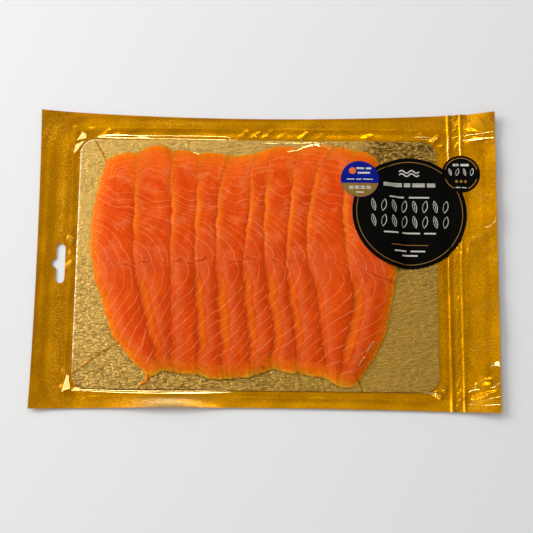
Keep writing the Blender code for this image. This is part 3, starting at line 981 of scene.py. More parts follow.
def makeSlice(i, material):
    # a slice is a closed skin between its back and its underside, on a grid of shares of its
    # width and length. Past its bare part it thins to a tail under the next slice
    inRim = np.linspace(0, fan["rimShare"], fan["rimColumns"], endpoint=False)
    own = np.concatenate([inRim, np.linspace(fan["rimShare"], 1, fan["columns"])])
    tail = np.linspace(0, fan["tail"], fan["tailColumns"] + 1)[1:] if i < last else np.zeros(0)
    ends, start = np.array(fan["endRows"]), fan["rowsFrom"]
    rows = np.concatenate([ends, np.linspace(start, 1 - start, fan["rows"]), 1 - ends[::-1]])
    s, v = np.meshgrid(np.concatenate([own, tail]), rows)
    hidden = (np.arange(len(own) + len(tail)) >= len(own)) & (v >= 0)
    bared = (i > 0) * ~hidden
    within = np.where(hidden, 1, s)
    whose = np.where(hidden, min(i + 1, last), i)
    x, y = fanSpot(whose, s, v)
    back = np.where(hidden, tailHeight(s, v), backHeight(whose, s, v, x, y))
    over = (i > 0) & ~hidden & (s <= fan["tail"])
    belly = np.where(over, tailHeight(s, v) + fan["gap"], 0.0)
    belly = np.minimum(belly, back - 0.05)
    edges = edgePlaces(v)
    width = edges[..., i + 1] - edges[..., i]
    across = np.where(hidden, width + s * 10, s * width)
    above = aboveLine(whose, s, y)
    low, top = endPlaces(np.full(s.shape, i), np.clip(within, 0, 1))
    nearEnd = np.minimum(top - y, y - low)
    if i == 0:
        nearEnd = np.minimum(nearEnd, across * 1.15)
    if i == last:
        nearEnd = np.minimum(nearEnd, (width - across) * 1.3)
    toNext = np.maximum(np.where(hidden, 0.0, width - across), 0)
    fade = ease((top - y - 8) / 32)
    below = lowHalf(above)
    yellow = fan["yellowHigh"][i] * (1 - below) + fan["yellowLow"][i] * lens(above)
    pitch = np.where(y > low + 60, roundSeams["pitch"], roundSeams["footPitch"])
    draw = np.random.default_rng(90 + i)
    rise = np.abs(within - draw.uniform(0.4, 0.6)) * 2
    dome = top - roundSeams["domeTop"] * draw.uniform(0.85, 1.3) - y
    dome = dome - roundSeams["domeFall"] * draw.uniform(0.5, 1.1) * rise ** draw.uniform(2.2, 3.4)
    dome = dome + 1.6 * ripple(x + 40 * i, y, 12, 33)
    atFoot = ease((roundSeams["footDepth"] - (y - low)) / 2)
    countUp = upperLines(i, across, above)
    bandUp = ease((top - y - 5) / 34) * (0.35 + 0.65 * ease((above - 12) / 14))
    # painted shade: how strongly the face darkens in the crevice beside the next slice
    dip = np.exp(-((toNext / (3.4 + 0.8 * below)) ** 1.5))
    numbers = {
        "seamUp": countUp,
        "forceUp": np.interp(countUp, np.arange(12), upperSeams["force"]),
        "pitchUp": lineSpacing(upperLines, i, across, above),
        "seamLow": lowerLines(i, across, above),
        "pitchLow": lineSpacing(lowerLines, i, across, above),
        "seamRound": (nearEnd + 1.3 * ripple(x, y, 15, 34)) / pitch,
        "pitchRound": pitch,
        "crown": np.maximum(ease(0.5 - dome / 2), atFoot),
        "dome": dome,
        "domed": 0 * s + roundSeams["domed"][i],
        "aboveLine": above,
        "nearEnd": nearEnd,
        "across": across,
        "rimWidth": rimWidth(np.full(s.shape, i), above),
        "yellow": yellow * ease((y - low - 5) / 14),
        "below": below,
        "bare": fade * bared,
        "bandUp": 0.8 * bandUp * bared,
        "spot": spotsAt(x, y),
        # painted highlight: how strongly the sheen on the crest shows
        "crestSheenAndBlotch": fade * (0.6 + 0.4 * below),
        "lobe": bell((above - 1) / 11) * ease((0.85 - within) / 0.4),
        "dip": dip * (i < last) * fade * (0.8 + 0.2 * below),
        "sliceNumber": 0 * s + 20.0 * i,
    }
    upper, under = cloud(x, y, fan["bed"] + back), cloud(x, y, fan["bed"] + belly)
    points, faces = thickened(upper, under, gridQuads(*s.shape))
    if i == 0:
        tube, rings = strandTube()
        points, faces = joined([(points, faces), (tube, rings)])
        for key, values in numbers.items():
            onTube = np.full(len(tube), strand["numbers"].get(key, 0.0))
            numbers[key] = np.concatenate([values.ravel(), values.ravel(), onTube])
    piece = addPiece(f"salmonSlice{i + 1:02d}", points, faces, [material], numbers)
    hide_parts(f"slice_{i + 1:02d}")
    return piece


print("cutting the slices")
salmon = makeSalmon()
for i in range(slices):
    makeSlice(i, salmon)


# Gold back film


laminate = {
    "colour": paint(254, 172, 0),
    # the darker gold that the uneven tone and the painted shade lean to
    "dark": paint(206, 134, 0),
    # painted highlight: the pale gold of glints on the weld pattern
    "sparkleGlint": paint(255, 208, 84),
    "roughness": 0.23,
    "knurl": 0.9,  # pitch of the weld pattern
    "knurlDepth": 0.00003,
    "cells": (0.62, 0.65, 1.6),  # cell sizes in the left rim, the right rim and between
}


def makeLaminate():
    material = newMaterial("gold laminate")
    where = place()
    weld = number("weld")
    knurled = number("knurled")
    # the tone mixes uneven bands with painted shade and painted light
    colour = mixColour(number("tone"), laminate["dark"], laminate["colour"])
    grain = noise(where, 1.1, 2.0, 0.8)
    depth = scaled(weld, -0.35, scaled(knurled, 0.5, 0.8))
    # painted highlight: pale glints where the weld pattern is pressed
    paintedSparkle = times(knurled, mapped(grain, 0.52, 0.68, 0.0, 0.5))
    shade = scaled(minus(grain, 0.5), times(depth, 2.0), 0.95)
    turned = place((1000.0 / laminate["knurl"],) * 3, 45)
    waves = [calc("SINE", times(along, 2 * math.pi)) for along in apart(turned)]
    relief = bump(times(waves[0], waves[1], knurled), laminate["knurlDepth"])
    return finished(material, {
        "Base Color": shaded(mixColour(paintedSparkle, colour, laminate["sparkleGlint"]), shade),
        "Normal": bump(grain, 0.00006, 0.6, relief),
        "Roughness": scaled(weld, 0.08, laminate["roughness"]),
        "Metallic": 1.0,
    })


# where the weld pattern is pressed deepest: X, Y, half width, half height
knurlPatches = (
    (-134.0, 0.0, 3.2, 120.0),
    (-142, 86, 9, 9),
    (-62, 94, 34, 4),
    (25, 88, 20, 4),
    (132, 94, 14, 6),
    (136, -94, 12, 6),
    (-78, -95, 30, 7),
)


def knurlAt(x, y):
    # each patch is a bell along both axes
    bells = [bell((x - px) / w) * bell((y - py) / h) for px, py, w, h in knurlPatches]
    return sealed(x, y) * (0.25 + 0.75 * np.maximum.reduce(bells))


def toneAndPaintedLight(x, y):
    # uneven tone in soft bands along the card's edges, with painted shade on the left rim and painted light
    # on the end flap
    tone = 0.55 + 0.25 * ripple(-cardInside(x, y), 0.06 * (x - y), 8, 41) + 0.2 * ripple(x, y, 20, 42)
    return np.clip(tone - 0.42 * ease((-118 - x) / 6) + 0.4 * ease((x - 122) / 6), 0, 1)


def unevenSteps(stops, sizes):
    # places from the first stop to the last, with cells of about the given size in each span
    parts = [
        np.linspace(a, b, int(math.ceil((b - a) / size)) + 1)[:-1]
        for a, b, size in zip(stops, stops[1:], sizes)
    ]
    return np.concatenate(parts + [np.array([stops[-1]])])


print("pressing the gold film")
leftCell, rightCell, wideCell = laminate["cells"]
xs = unevenSteps((-halfX, cardLeft + 2, cardRight - 2, halfX), (leftCell, wideCell, rightCell))
ys = unevenSteps((-halfY, cardLow + 2, cardHigh - 2, halfY), (0.7, 1.5, 0.7))
x, y, quads = trimmedGrid(xs, ys, slotOutside)
low = backBottom(x, y)
px, py = drawnIn(x, y)
points, faces = thickened(cloud(px, py, low + pouch["backThick"]), cloud(px, py, low), quads)
numbers = {"weld": sealed(x, y), "knurled": knurlAt(x, y), "tone": toneAndPaintedLight(x, y)}
goldBack = addPiece("goldBackFilm", points, faces, [makeLaminate()], numbers, sharp=40)
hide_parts("back_film")


# Card


foilCard = {
    # painted light: the foil's colour at the upper left, where it is lit, and at the lower right, where it
    # is shaded
    "light": paint(217, 175, 92),
    "dark": paint(184, 144, 62),
    "roughness": 0.42,
    "emboss": 0.00125,
    "pitting": 0.00012,
    # painted shade in the emboss hollows, and painted shadow on the card beside the fish
    "valley": paint(120, 88, 30),
    # painted highlight along the card's left edge
    "worn": paint(250, 236, 196),
    # painted shadow along the card's bottom edge
    "shade": paint(64, 40, 6),
    "core": paint(112, 84, 44),
    "coreLight": paint(176, 150, 104),
    "cell": 0.95,
    "buckle": 0.05,
}


def makeFoil():
    # foil pressed with short crooked ridges that lie mostly along X, over finer pitting
    material = newMaterial("embossed gold foil")
    ridges = noise(place((350.0, 1000.0, 1000.0), 12), 0.82, 2.0, 0.45, 0.55)
    pits = noise(place((800.0, 1000.0, 1000.0)), 2.0, 1.0, 0.5)
    alongX, alongY = apart(place())
    # painted light and shade: the foil lighter towards the upper left and darker towards the lower right
    slant = scaled(alongY, 0.8, times(alongX, -1.0))
    colour = mixColour(mapped(slant, -130.0, 130.0), foilCard["dark"], foilCard["light"])
    press = number("press")
    # painted shade in the hollows of the emboss
    valley = times(mapped(ridges, 0.36, 0.5, 0.42, 0.0), press)
    # painted shadow on the card beside the fish
    valley = plus(valley, times(number("shadowBesideFish"), 0.25))
    colour = mixColour(valley, colour, foilCard["valley"])
    # painted highlight: a pale line along the card's left edge
    colour = mixColour(number("paleEdge"), colour, foilCard["worn"])
    # painted shadow along the card's bottom edge
    colour = mixColour(number("darkEdge"), colour, foilCard["shade"])
    relief = bump(ridges, foilCard["emboss"], press)
    return finished(material, {
        "Base Color": colour,
        "Normal": bump(pits, foilCard["pitting"], 0.8, relief),
        "Metallic": 1.0,
        "Roughness": foilCard["roughness"],
    })


def makeCardCore():
    material = newMaterial("card cut edge")
    fibres = noise(place((1000.0, 1000.0, 4000.0)), 1.2, 3.0)
    colour = mixColour(mapped(fibres, 0.35, 0.65), foilCard["core"], foilCard["coreLight"])
    return finished(material, {"Base Color": colour, "Roughness": 0.85})


print("stamping the card")
xs = np.linspace(cardLeft, cardRight, int(card["width"] / foilCard["cell"]))
ys = np.linspace(cardLow, cardHigh, int(card["height"] / foilCard["cell"]))
x, y, quads = trimmedGrid(xs, ys, cardInside)
inside = cardInside(x, y)
top = card["top"] - 0.05 + 0.5 * foilCard["buckle"] * ripple(x, y, 16, 31, 1.5) * np.clip(inside / 4, 0, 1)
top = top - 0.1 * (inside < 0.3)
points, faces = thickened(cloud(x, y, top), cloud(x, y, 0 * x + card["base"]), quads)
core = np.arange(len(faces)) >= 2 * len(quads)
# the pressed pattern is deepest at the bottom left, and along the top towards the right
press = 0.62 + 0.5 * ease((-0.5 * x - y - 40) / 60)
press = press + 0.2 * ease((x - 60) / 40) * (y > -20)
alongTop = 0.3 * ease((x + 110) / 60) + 2.2 * ease((x - 60) / 20)
press = press + ease((y - 58) / 10) * alongTop
press = press + 0.2 * ease((-68 - y) / 8) * ease((40 - x) / 40)
# painted shadow on the card along the fish's outline, stronger towards the top
beside = sample(soften(onFish * 1.0, 1.6), x, y) * (0.2 + 0.8 * ease((y + 30) / 60))
# painted highlight along the card's left edge, the side towards the window
atLeft = ease((-105 - x) / 12) * ease((y + 80) / 20)
# painted shadow along the card's bottom edge, towards the left
atFoot = (y < cardLow + 4) * ease((-15 - x) / 20) * (0.7 + 0.3 * ripple(x, 0 * y, 2.0, 45))
numbers = {
    "press": np.clip(press, 0, 3.0),
    "shadowBesideFish": np.clip(1.1 * beside, 0, 1),
    "paleEdge": 0.9 * ease(1 - inside / 0.8) * atLeft,
    "darkEdge": ease(1.4 - inside / 0.8) * atFoot,
}
goldCard = addPiece("goldCard", points, faces, [makeFoil(), makeCardCore()], numbers, core, 40)
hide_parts("card")


# Clear film


clear = {
    "cell": 0.79,
    "roughness": 0.09,
    "ior": 1.5,
    "gleam": paint(255, 230, 150),
    "shine": 0.05,  # share of a mirror's gloss over the card, where the film clings
    "rimShine": 0.03,
    "skirtShine": 4.0,
    # shares of skirtShine: beside the card, on the end flap, on the pleats and on the curl
    "besideCard": 0.06,
    "onFlap": 0.05,
    "onPleats": 0.08,
    "onCurl": 2.2,
    "foldShine": 0.5,
    "facetShine": 3.0,
    "creaseShine": 0.12,
    "glintShine": 10.0,
    "glintHaze": 0.08,
    "ribbonLift": 0.3,
    "ribbonPoints": 90,
    # painted shade: the darker tint given to the film of a crease
    "creaseShadeTint": paint(230, 208, 142),
}

# creases of the clear film: start, end, width, height
creases = (
    ((-124.5, -79), (-92, -55.5), 1.4, 0.5),
    ((-114.5, 80), (-105.5, 63.5), 1.3, 0.4),
    ((81, 79), (71.5, 67), 1.1, 0.5),
    ((57.5, -76), (63, -88), 1.0, 0.4),
)
# tight folds that only glint
glints = (
    ((14.5, 69.8), (26, 74.6), 0.9, 0.16),
    ((24, 73.4), (38, 77.6), 1.1, 0.2),
    ((35, 77.6), (42.5, 71.6), 0.7, 0.15),
    ((0, 74.2), (12, 77.7), 0.7, 0.12),
    ((64.5, -63.0), (69.5, -55), 1.1, 0.3),
    ((59.5, -71.5), (63.5, -65.5), 0.9, 0.25),
    ((-80.0, -83.8), (-81.8, -86.8), 0.5, 0.16),
    ((119.3, 66), (119.5, 84), 1.1, 0.4),
    ((127.2, 70), (127.3, 86), 0.8, 0.3),
)


# flat facets that the film pulls out of the card's left corners: X, Y and Z of their own corners
facets = (
    ((-126.2, 78.6, 1.6), (-119.4, 80.0, 3.9), (-122.6, 84.8, 2.0), (-119.8, 83.0, 3.1)),
    ((-127.6, 69.3, 1.7), (-123.8, 73.6, 3.1), (-127.0, 75.8, 1.8), (-120.8, 77.8, 4.0)),
    ((-129.4, -89.0, 0.9), (-123.6, -86.8, 2.8), (-126.0, -77.6, 1.6), (-124.8, -78.4, 2.0)),
    ((-122.8, -88.4, 1.6), (-117.0, -88.6, 3.6), (-121.0, -85.8, 2.2), (-116.4, -86.8, 3.8)),
)


def facetPatch(corners):
    # a small grid stretched straight between four corners
    nearLeft, nearRight, farLeft, farRight = np.array(corners)
    a, b = np.meshgrid(np.linspace(0, 1, 6), np.linspace(0, 1, 6))
    a, b = a[..., None], b[..., None]
    near = nearLeft * (1 - a) + nearRight * a
    far = farLeft * (1 - a) + farRight * a
    return (near * (1 - b) + far * b).reshape(-1, 3), gridQuads(6, 6)


# narrow flat folds of film: X, Y and breadth at each knot, then how steeply each falls towards +Y
ribbons = (
    (((-113, 80.6, 0.2), (-106, 80.4, 0.7), (-88, 80.2, 0.4), (-83, 80.3, 1.1), (-76, 80.1, 0.2),
      (-26, 79.6, 0.2), (-20, 79.7, 0.1)), 0.205),
    (((-112, 81.3, 0.4), (-103, 82.1, 1.2), (-90, 82.4, 0.4), (-84, 81.9, 0.6), (-74, 82.5, 0.2),
      (-30, 82.2, 0.2), (-22, 81.2, 0.1)), 0.205),
    (((96, 82.6, 0.1), (103, 82.9, 0.35), (109, 82.4, 0.35), (113, 81.2, 0.1)), 0.205),
    (((102, 80.9, 0.1), (106, 80.7, 0.4), (109, 79.8, 0.1)), 0.205),
    (((-117, -87.3, -0.3), (-100, -87.6, -0.3), (-74, -87.9, -0.25), (-45, -87.5, -0.2),
      (-24, -87.3, -0.1)), -0.247),
    (((-116, -88.1, -0.2), (-95, -88.8, -0.4), (-66, -89.1, -0.3), (-48, -88.4, -1.0),
      (-34, -88.2, -0.9), (-20, -88.0, -0.2)), -0.247),
    (((13.6, 70.6, 0.1), (17, 71.4, 0.5), (20, 71.8, 0.25), (23.6, 74.1, 0.5), (30, 75.8, 0.7),
      (32.5, 75.4, 1.6), (36, 74.2, 0.2)), 0.205),
    (((-3, 77.6, 0.1), (4, 77.2, 0.35), (9, 77.9, 0.2), (20, 77.6, 0.3), (31, 78.1, 0.35),
      (37, 77.0, 0.1)), 0.205),
    (((-49, 70.6, 0.2), (-46.5, 69.6, 0.5), (-44.5, 69.0, 0.2)), 0.205),
    (((127.5, 80.6, 0.1), (133, 80.2, 1.0), (139, 80.7, 1.2), (146, 81.6, 0.8), (149, 82.2, 0.3)), 0.2),
    (((124, 83.4, 0.1), (136, 84.6, 0.25), (148.5, 86.2, 0.2)), 0.2),
    (((100, -87.2, -0.2), (104, -87.0, -0.9), (109, -87.4, -2.0), (113, -89.4, -0.2)), -0.25),
    (((143.5, -70.6, 0.3), (146.5, -69.8, 2.4), (149.3, -70.4, 3.6)), 0.32),
    (((129.5, -86.4, 0.2), (133, -85.6, 0.9), (137, -84.8, 0.2)), 0.333),
    (((142.5, -84.2, 0.1), (146, -83.4, 0.4), (149.3, -81.2, 1.4)), 0.333),
    (((129, -95.2, 0.1), (138, -92.2, 0.15), (149.3, -89.6, 0.2)), 0.333),
    (((137, -95.6, 0.1), (142, -95.2, 0.3), (149, -94.8, 0.6)), 0.333),
    (((141, 20.6, 0.1), (146, 22.4, 0.3), (148.6, 24.4, 1.2), (149.4, 27, 2.4)), 0.248),
)


def ribbonFold(knots, lean):
    # a strip that starts above the film, reaches its breadth further in Y and falls by lean
    x, y, breadth = np.array(knots, float).T
    count = clear["ribbonPoints"]
    at = np.linspace(x[0], x[-1], count)
    y, breadth = np.interp(at, x, y), np.interp(at, x, breadth)
    share = np.linspace(0, 1, 3)[:, None]
    z = sample(clearTop, at, y) + clear["ribbonLift"] + (1 - share) * np.abs(breadth * lean)
    return cloud(at + 0 * z, y + share * breadth, z), gridQuads(3, count)


def makeClear(name, tint):
    # see-through, with a mirror's share that grows at a slant
    material = newMaterial(name)
    tree.nodes.remove(tree.nodes["Principled BSDF"])
    through = node("BsdfTransparent", {"Color": tint})
    rough = plus(number("haze"), clear["roughness"])
    gloss = node("BsdfAnisotropic", {"Color": clear["gleam"], "Roughness": rough})
    share = times(node("Fresnel", {"IOR": clear["ior"]}), number("shine"))
    both = node("MixShader", {0: share, 1: through, 2: gloss})
    put(tree.nodes["Material Output"].inputs["Surface"], both)
    return material


def creaseTent(start, end, width, height):
    # a standing crease from start to end: five points across, highest in the middle, that
    # narrows to both ends as the square root of a sine
    t = np.linspace(0, 1, 25)[:, None]
    start, end = np.array(start, float), np.array(end, float)
    side = np.array([start[1] - end[1], end[0] - start[0]]) / np.hypot(*(end - start))
    swell = np.sqrt(np.sin(math.pi * np.clip(t, 0.01, 0.99)))
    over = np.array([-0.5, -0.12, 0.0, 0.12, 0.5]) * width
    bend = 0.02 * np.hypot(*(end - start)) * np.sin(math.pi * t)
    x = start[0] + (end[0] - start[0]) * t + side[0] * (over * swell + bend)
    y = start[1] + (end[1] - start[1]) * t + side[1] * (over * swell + bend)
    rise = np.array([0.0, 0.75, 1.0, 0.75, 0.0]) * height * swell
    z = sample(clearTop, x, y) + 0.02 + rise
    return cloud(x, y, z), gridQuads(25, 5)


print("drawing the clear film tight")
xs = np.linspace(-halfX, halfX, int(2 * halfX / clear["cell"]))
ys = np.linspace(-halfY, halfY, int(2 * halfY / clear["cell"]))
x, y, quads = trimmedGrid(xs, ys, slotOutside)
px, py = drawnIn(x, y)
film = cloud(px, py, sample(clearTop, x, y))
tents = [creaseTent(*crease) for crease in creases]
glinting = [creaseTent(*glint) for glint in glints]
glinting += [ribbonFold(*ribbon) for ribbon in ribbons]
patches = [facetPatch(corners) for corners in facets]
groups = [[(film, quads)], tents, glinting, patches]
points, cells = joined(sum(groups, []))
pointGroup = np.repeat(range(4), [sum(len(flat) for flat, _ in group) for group in groups])
cellGroup = np.repeat(range(4), [sum(len(own) for _, own in group) for group in groups])
outside = -cardInside(x, y)
offCard = ease(outside + 0.5)
# the film shines along the card's long sides, over the pleats and where its bottom edge curls up
onSkirt = clear["besideCard"] * offCard * ease((skirtWidth(x, y) + 1.5 - outside) / 2)
along = ease((x + 117) / 4) * ease((-14 - x) / 8)
along = along + (y > 0) * ease((x - 82) / 10)
onSkirt = onSkirt * (1 - sideways(x, y)) * (0.2 + 0.8 * along)
onSkirt = np.maximum(onSkirt, clear["onFlap"] * ease((x - pouch["flapFrom"]) / 3))
for line, width, height in pouch["pleats"]:
    onSkirt = np.maximum(onSkirt, clear["onPleats"] * bell((x - line) / width))
middle, half, height = pouch["lowLift"]
onCurl = clear["onCurl"] * bell(1.6 * (x - middle) / half) * ease((cardLow - 4 - y) / 3)
onSkirt = np.maximum(onSkirt, onCurl)
onFold = np.maximum.reduce([fold(x, y, *ends, 1.0, half) for *ends, height, half in rimFolds])
filmShine = clear["shine"] + (clear["rimShine"] - clear["shine"]) * offCard
filmShine = filmShine + (clear["skirtShine"] - clear["rimShine"]) * onSkirt
filmShine = filmShine + clear["foldShine"] * ease(onFold * 2) * offCard
shine = np.array([0, clear["creaseShine"], clear["glintShine"], clear["facetShine"]])[pointGroup]
haze = np.array([0, clear["glintHaze"], clear["glintHaze"], 0])[pointGroup]
shine[: len(film)] = filmShine
haze[: len(film)] = 0.25 * sealed(x, y)
# the creases' film is tinted darker as painted shade of the folds
skins = [makeClear("clear film", (1, 1, 1, 1)), makeClear("creased clear film", clear["creaseShadeTint"])]
numbers = {"shine": shine, "haze": haze}
clearFilm = addPiece("clearFrontFilm", points, cells, skins, numbers, cellGroup == 1, 180)
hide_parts("front_film")


# Labels


labels = {
    "main": {
        "centre": (93.3, 30.5), "radius": 37.5, "span": 3.0, "node": "main_label", "slot": "label_black",
    },
    "left": {
        "centre": (60.8, 52.1), "radius": 12.5, "span": 2.0, "node": "left_sticker", "slot": "sticker_blue",
    },
    "right": {
        "centre": (127.3, 57.7), "radius": 12.5, "span": 2.0, "node": "right_sticker", "slot": "label_black",
    },
    "paper": 0.16,
    "ink": 0.06,
    "glue": 0.05,
}


def makePaper(name, colour, roughness, tooth):
    # printed paper: an even colour, with a faint tooth that breaks up its shine
    material = newMaterial(name)
    where = place()
    speck = noise(where, 1.5, 2.0, 0.6)
    darker = tuple(0.82 * c for c in colour[:3]) + (1.0,)
    return finished(material, {
        "Base Color": mixColour(mapped(speck, 0.35, 0.65), darker, colour),
        "Normal": bump(speck, tooth, 0.5),
        "Roughness": roughness,
        "Specular IOR Level": 0.04,
    })


def stiff(heights, span):
    # the surface of paper laid on these heights: it clears every one and turns no sharp corner
    highest = spread(heights, span)
    return np.maximum(soften(highest, span * 0.5), heights)


def discPoints(centre, radius, rings, spokes):
    # a centre point and rings of points out to the edge, with their cells: triangles at the centre
    angles = np.linspace(0, 2 * math.pi, spokes, endpoint=False)
    r = radius * np.arange(1, rings + 1)[:, None] / rings
    x = np.concatenate([[centre[0]], (centre[0] + r * np.cos(angles)).ravel()])
    y = np.concatenate([[centre[1]], (centre[1] + r * np.sin(angles)).ravel()])
    at = 1 + np.arange(rings * spokes).reshape(rings, spokes)
    after = np.roll(at, -1, axis=1)
    quads = np.stack([at[:-1], at[1:], after[1:], after[:-1]], -1).reshape(-1, 4)
    fans = np.stack([0 * at[0], at[0], after[0], after[0]], -1)
    return np.stack([x, y], 1), np.concatenate([quads, fans])


def strip(path, width, close=False):
    # a flat band of even width along a path
    path = np.asarray(path, float)
    ahead = np.roll(path, -1, 0) - np.roll(path, 1, 0) if close else np.gradient(path, axis=0)
    ahead /= np.hypot(*ahead.T)[:, None]
    side = np.stack([-ahead[:, 1], ahead[:, 0]], 1) * width / 2
    count = len(path)
    at = np.arange(count if close else count - 1)
    after = (at + 1) % count
    quads = np.stack([at + count, after + count, after, at], 1)
    return np.concatenate([path + side, path - side]), quads


def bar(x, y, width, height, turn=0.0):
    # a straight band, split along its length so that it follows the paper under it
    along = np.linspace(-width / 2, width / 2, max(3, int(width / 1.2) + 2))
    points, quads = strip(np.stack([along, 0 * along], 1), height)
    c, s = math.cos(math.radians(turn)), math.sin(math.radians(turn))
    return points @ np.array([[c, s], [-s, c]]) + (x, y), quads


def arcBand(x, y, radius, width, start=0, end=360):
    # a band along a circle
    whole = end - start == 360
    count = max(12, int((end - start) * radius / 60))
    angles = np.radians(np.linspace(start, end, count, endpoint=not whole))
    path = np.stack([x + radius * np.cos(angles), y + radius * np.sin(angles)], 1)
    return strip(path, width, close=whole)


def waveBand(x, y, width, height, length, thick, phase=0.0):
    # a band along a sine wave
    along = np.linspace(-width / 2, width / 2, int(width * 3))
    rise = height * np.sin(2 * math.pi * (along / length + phase))
    return strip(np.stack([x + along, y + rise], 1), thick)


def leafRow(x, y, width, height, count, lean):
    # pointed ovals in outline that lean left and right in turn, with a vein in every other one
    shapes = []
    for k in range(count):
        middle = x + width * ((k + 0.5) / count - 0.5)
        tilt = math.radians(lean if k % 2 else -lean)
        c, s = math.cos(tilt), math.sin(tilt)
        t = np.linspace(-1, 1, 13)
        for side, thick in ((-1, 0.26), (1, 0.45)):
            bow = side * (0.15 + 0.04 * (k % 2)) * height * (1 - t**2)
            along = 0.5 * height * t
            path = np.stack([middle + bow * c + along * s, y - bow * s + along * c], 1)
            shapes.append(strip(path, thick))
        if k % 2 == 0:
            along = 0.26 * height * t
            shapes.append(strip(np.stack([middle + along * s, y + along * c], 1), 0.35))
    return joined(shapes)


def dashes(x, y, width, height, lengths):
    # a broken line: dashes of these relative lengths, with gaps between them
    gap = 0.35 * min(lengths)
    scale = width / (sum(lengths) + gap * (len(lengths) - 1))
    shapes, at = [], x - width / 2
    lines = max(1, round(height / 1.1))
    for length in lengths:
        for k in range(lines):
            level = y + height * ((k + 0.5) / lines - 0.5)
            thick = height / lines * (1.0 if lines == 1 else 0.68)
            shapes.append(bar(at + length * scale / 2, level, length * scale, thick))
        at += (length + gap) * scale
    return joined(shapes)


def dot(x, y, radius):
    return discPoints((x, y), radius, 2, 20)


def segment(x, y, radius, level):
    # the part of a disc that lies below a level
    rows = y + radius * np.sin(np.linspace(-0.49 * math.pi, math.asin((level - y) / radius), 10))
    half = np.sqrt(radius**2 - (rows - y) ** 2)
    across = x + half[:, None] * np.linspace(-1, 1, 16)
    return np.stack([across, np.repeat(rows[:, None], 16, 1)], -1).reshape(-1, 2), gridQuads(10, 16)


def makeLabel(name, key, below, papers, inks):
    # the paper disc with its printed shapes laid on it, each a little higher than the one before
    label = labels[key]
    centre, radius = label["centre"], label["radius"]
    rest = stiff(below, label["span"]) + labels["glue"]
    rings, spokes = int(radius / 0.55), int(radius * 5)
    flat, cells = discPoints(centre, radius, rings, spokes)
    low = np.column_stack([flat, sample(rest, *flat.T)])
    parts = [thickened(low + (0, 0, labels["paper"]), low, cells)]
    for rank, (_, (flat, cells)) in enumerate(inks):
        flat = flat + centre
        height = sample(rest, *flat.T) + labels["paper"] + labels["ink"] * (rank + 1) / len(inks)
        parts.append((np.column_stack([flat, height]), cells))
    ownerOf = np.repeat([0] + [material for material, _ in inks], [len(cells) for _, cells in parts])
    points, cells = joined(parts)
    piece = addPiece(name, points, cells, papers, (), ownerOf, 50)
    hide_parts(label["node"])
    inDisc = np.hypot(gridX - centre[0], gridY - centre[1]) < radius
    return np.where(inDisc, rest + labels["paper"], below)


print("sticking the labels on")
black = makePaper("black label paper", paint(5, 4, 3), 0.5, 0.00002)
blue = makePaper("blue sticker paper", paint(8, 26, 132), 0.35, 0.00002)
bronze = makePaper("bronze sticker paper", paint(140, 108, 46), 0.35, 0.00002)
cream = makePaper("cream ink", paint(206, 202, 190), 0.45, 0.00001)
gilt = makePaper("gilt ink", paint(160, 116, 54), 0.4, 0.00001)
orange = makePaper("orange ink", paint(232, 110, 38), 0.4, 0.00001)

# each print: its ink, and its shape with places from the label's own centre
mainPrint = [
    (2, arcBand(0, 0, 34.7, 0.38)),
    (1, waveBand(0, 28.2, 13, 0.9, 6.5, 0.8)),
    (1, waveBand(0, 26.0, 13, 0.9, 6.5, 0.8)),
    (1, dashes(0, 19.0, 34, 2.8, (9, 3, 6, 4))),
    (1, dashes(0, 10.6, 26, 1.0, (5, 7))),
    (1, leafRow(0, 4.4, 54, 8.2, 8, 12)),
    (1, leafRow(0, -6.0, 54, 8.2, 8, 12)),
    (1, dashes(0, -13.6, 34, 1.0, (5, 6, 4))),
    (2, bar(0, -21.6, 24, 0.4)),
    (1, dashes(0, -25.6, 20, 1.0, (4, 5))),
    (1, bar(0, -28.6, 10, 1.0)),
]
leftPrint = [
    (1, segment(0, 0, 12.4, -2.8)),
    (3, dot(-4.8, 5.6, 2.3)),
    (2, dashes(2.6, 7.4, 9.5, 1.3, (3, 2))),
    (2, bar(2.6, 4.2, 8.0, 1.2)),
    (2, dashes(0, -0.2, 17, 0.7, (3, 2, 4))),
    (2, dashes(0, -5.8, 14, 2.4, (2, 2, 2, 2))),
    (2, bar(0, -9.2, 5, 0.9)),
]
rightPrint = [
    *[(2, arcBand(0, 0, 10.8, 0.5, *ends)) for ends in ((15, 165), (200, 245), (295, 340))],
    (1, dashes(0, 6.0, 10.5, 1.6, (2, 3))),
    (1, leafRow(0, 1.2, 19, 5.0, 4, 14)),
    *[(2, dot(off, -5.2, 0.95)) for off in (-2.9, 0, 2.9)],
    (1, dashes(0, -9.4, 7, 0.7, (2, 2))),
]
surface = makeLabel("mainLabel", "main", clearTop, [black, cream, gilt], mainPrint)
surface = makeLabel("leftSticker", "left", surface, [blue, bronze, cream, orange], leftPrint)
surface = makeLabel("rightSticker", "right", surface, [black, cream, gilt], rightPrint)


# Floor, light and camera


studio = {
    "floor": paint(228, 228, 228),
    "floorHalf": 3.0,
    "floorLevel": -0.0004,
    # strength of the sky straight above, and how much it grows towards the window side
    "sky": 0.46,
    "skyLean": (-0.2, 0.1, 0.0),
    # name, place in metres, size, watts, colour
    "lamps": (
        ("window", (-1.4, 0.65, 0.95), (1.2, 1.0), 25.8, (1.0, 1.0, 1.0)),
        ("strip", (-0.1, 1.05, 1.1), (1.8, 0.12), 1.0, (1.0, 1.0, 1.0)),
        ("shortStrip", (0.0, 1.05, 1.12), (0.66, 0.06), 2.0, (1.0, 1.0, 1.0)),
        ("lowStrip", (-0.2, -0.5, 1.2), (0.4, 0.05), 1.3, (1.0, 1.0, 1.0)),
    ),
    "cameraPlace": (0.0130, -0.2295, 0.9468),
    "cameraTurn": (13.32, 0.60, 0.67),
    "lens": 101.3,
}


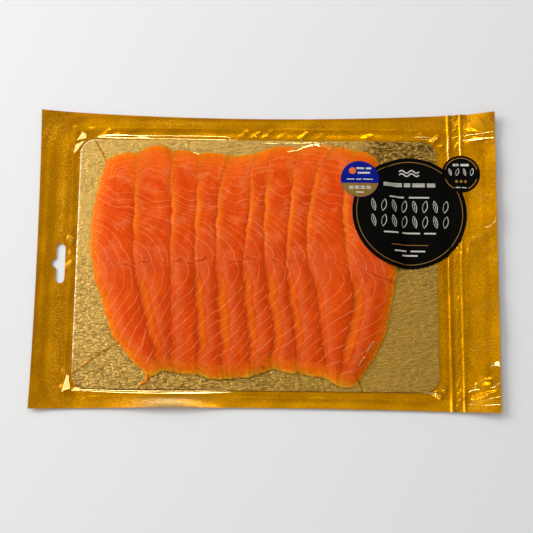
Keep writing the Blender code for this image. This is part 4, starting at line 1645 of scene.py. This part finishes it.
def makeFloor():
    material = newMaterial("pale floor")
    tone = noise(place((1.0, 1.0, 1.0)), 4.0, 2.0)
    paler = tuple(min(1.0, c * 1.02) for c in studio["floor"][:3]) + (1.0,)
    finished(material, {"Base Color": mixColour(tone, studio["floor"], paler), "Roughness": 0.6})
    mesh = bpy.data.meshes.new("floor")
    half, level = studio["floorHalf"], studio["floorLevel"]
    corners = [(x * half, y * half, level) for x, y in ((-1, -1), (1, -1), (1, 1), (-1, 1))]
    mesh.from_pydata(corners, [], [(0, 1, 2, 3)])
    mesh.materials.append(material)
    floor = bpy.data.objects.new("floor", mesh)
    bpy.context.scene.collection.objects.link(floor)


def makeLamp(name, where, size, watts, colour):
    lamp = bpy.data.lights.new(name, "AREA")
    lamp.shape = "RECTANGLE"
    lamp.size, lamp.size_y = size
    lamp.energy = watts
    lamp.color = colour
    item = bpy.data.objects.new(name, lamp)
    item.location = where
    aim = -np.array(where)
    item.rotation_euler = (
        math.atan2(math.hypot(aim[0], aim[1]), -aim[2]),
        0,
        math.atan2(aim[1], aim[0]) - math.pi / 2,
    )
    bpy.context.scene.collection.objects.link(item)


print("setting the studio")
makeFloor()
for lamp in studio["lamps"]:
    makeLamp(*lamp)
world = bpy.data.worlds.new("studio")
world.use_nodes = True
tree = world.node_tree
towards = {0: node("TexCoord"), 1: studio["skyLean"]}
lean = node("VectorMath", towards, "Value", operation="DOT_PRODUCT")
background = tree.nodes["Background"]
put(background.inputs["Strength"], plus(lean, studio["sky"]))
put(background.inputs["Color"], (1.0, 1.0, 1.0, 1.0))
bpy.context.scene.world = world
bpy.context.scene.view_settings.view_transform = "Standard"

camera = bpy.data.cameras.new("camera")
camera.sensor_width = 36.0
camera.lens = studio["lens"]
camera.clip_start = 0.01
cameraItem = bpy.data.objects.new("camera", camera)
cameraItem.location = studio["cameraPlace"]
cameraItem.rotation_euler = [math.radians(a) for a in studio["cameraTurn"]]
bpy.context.scene.collection.objects.link(cameraItem)
bpy.context.scene.camera = cameraItem
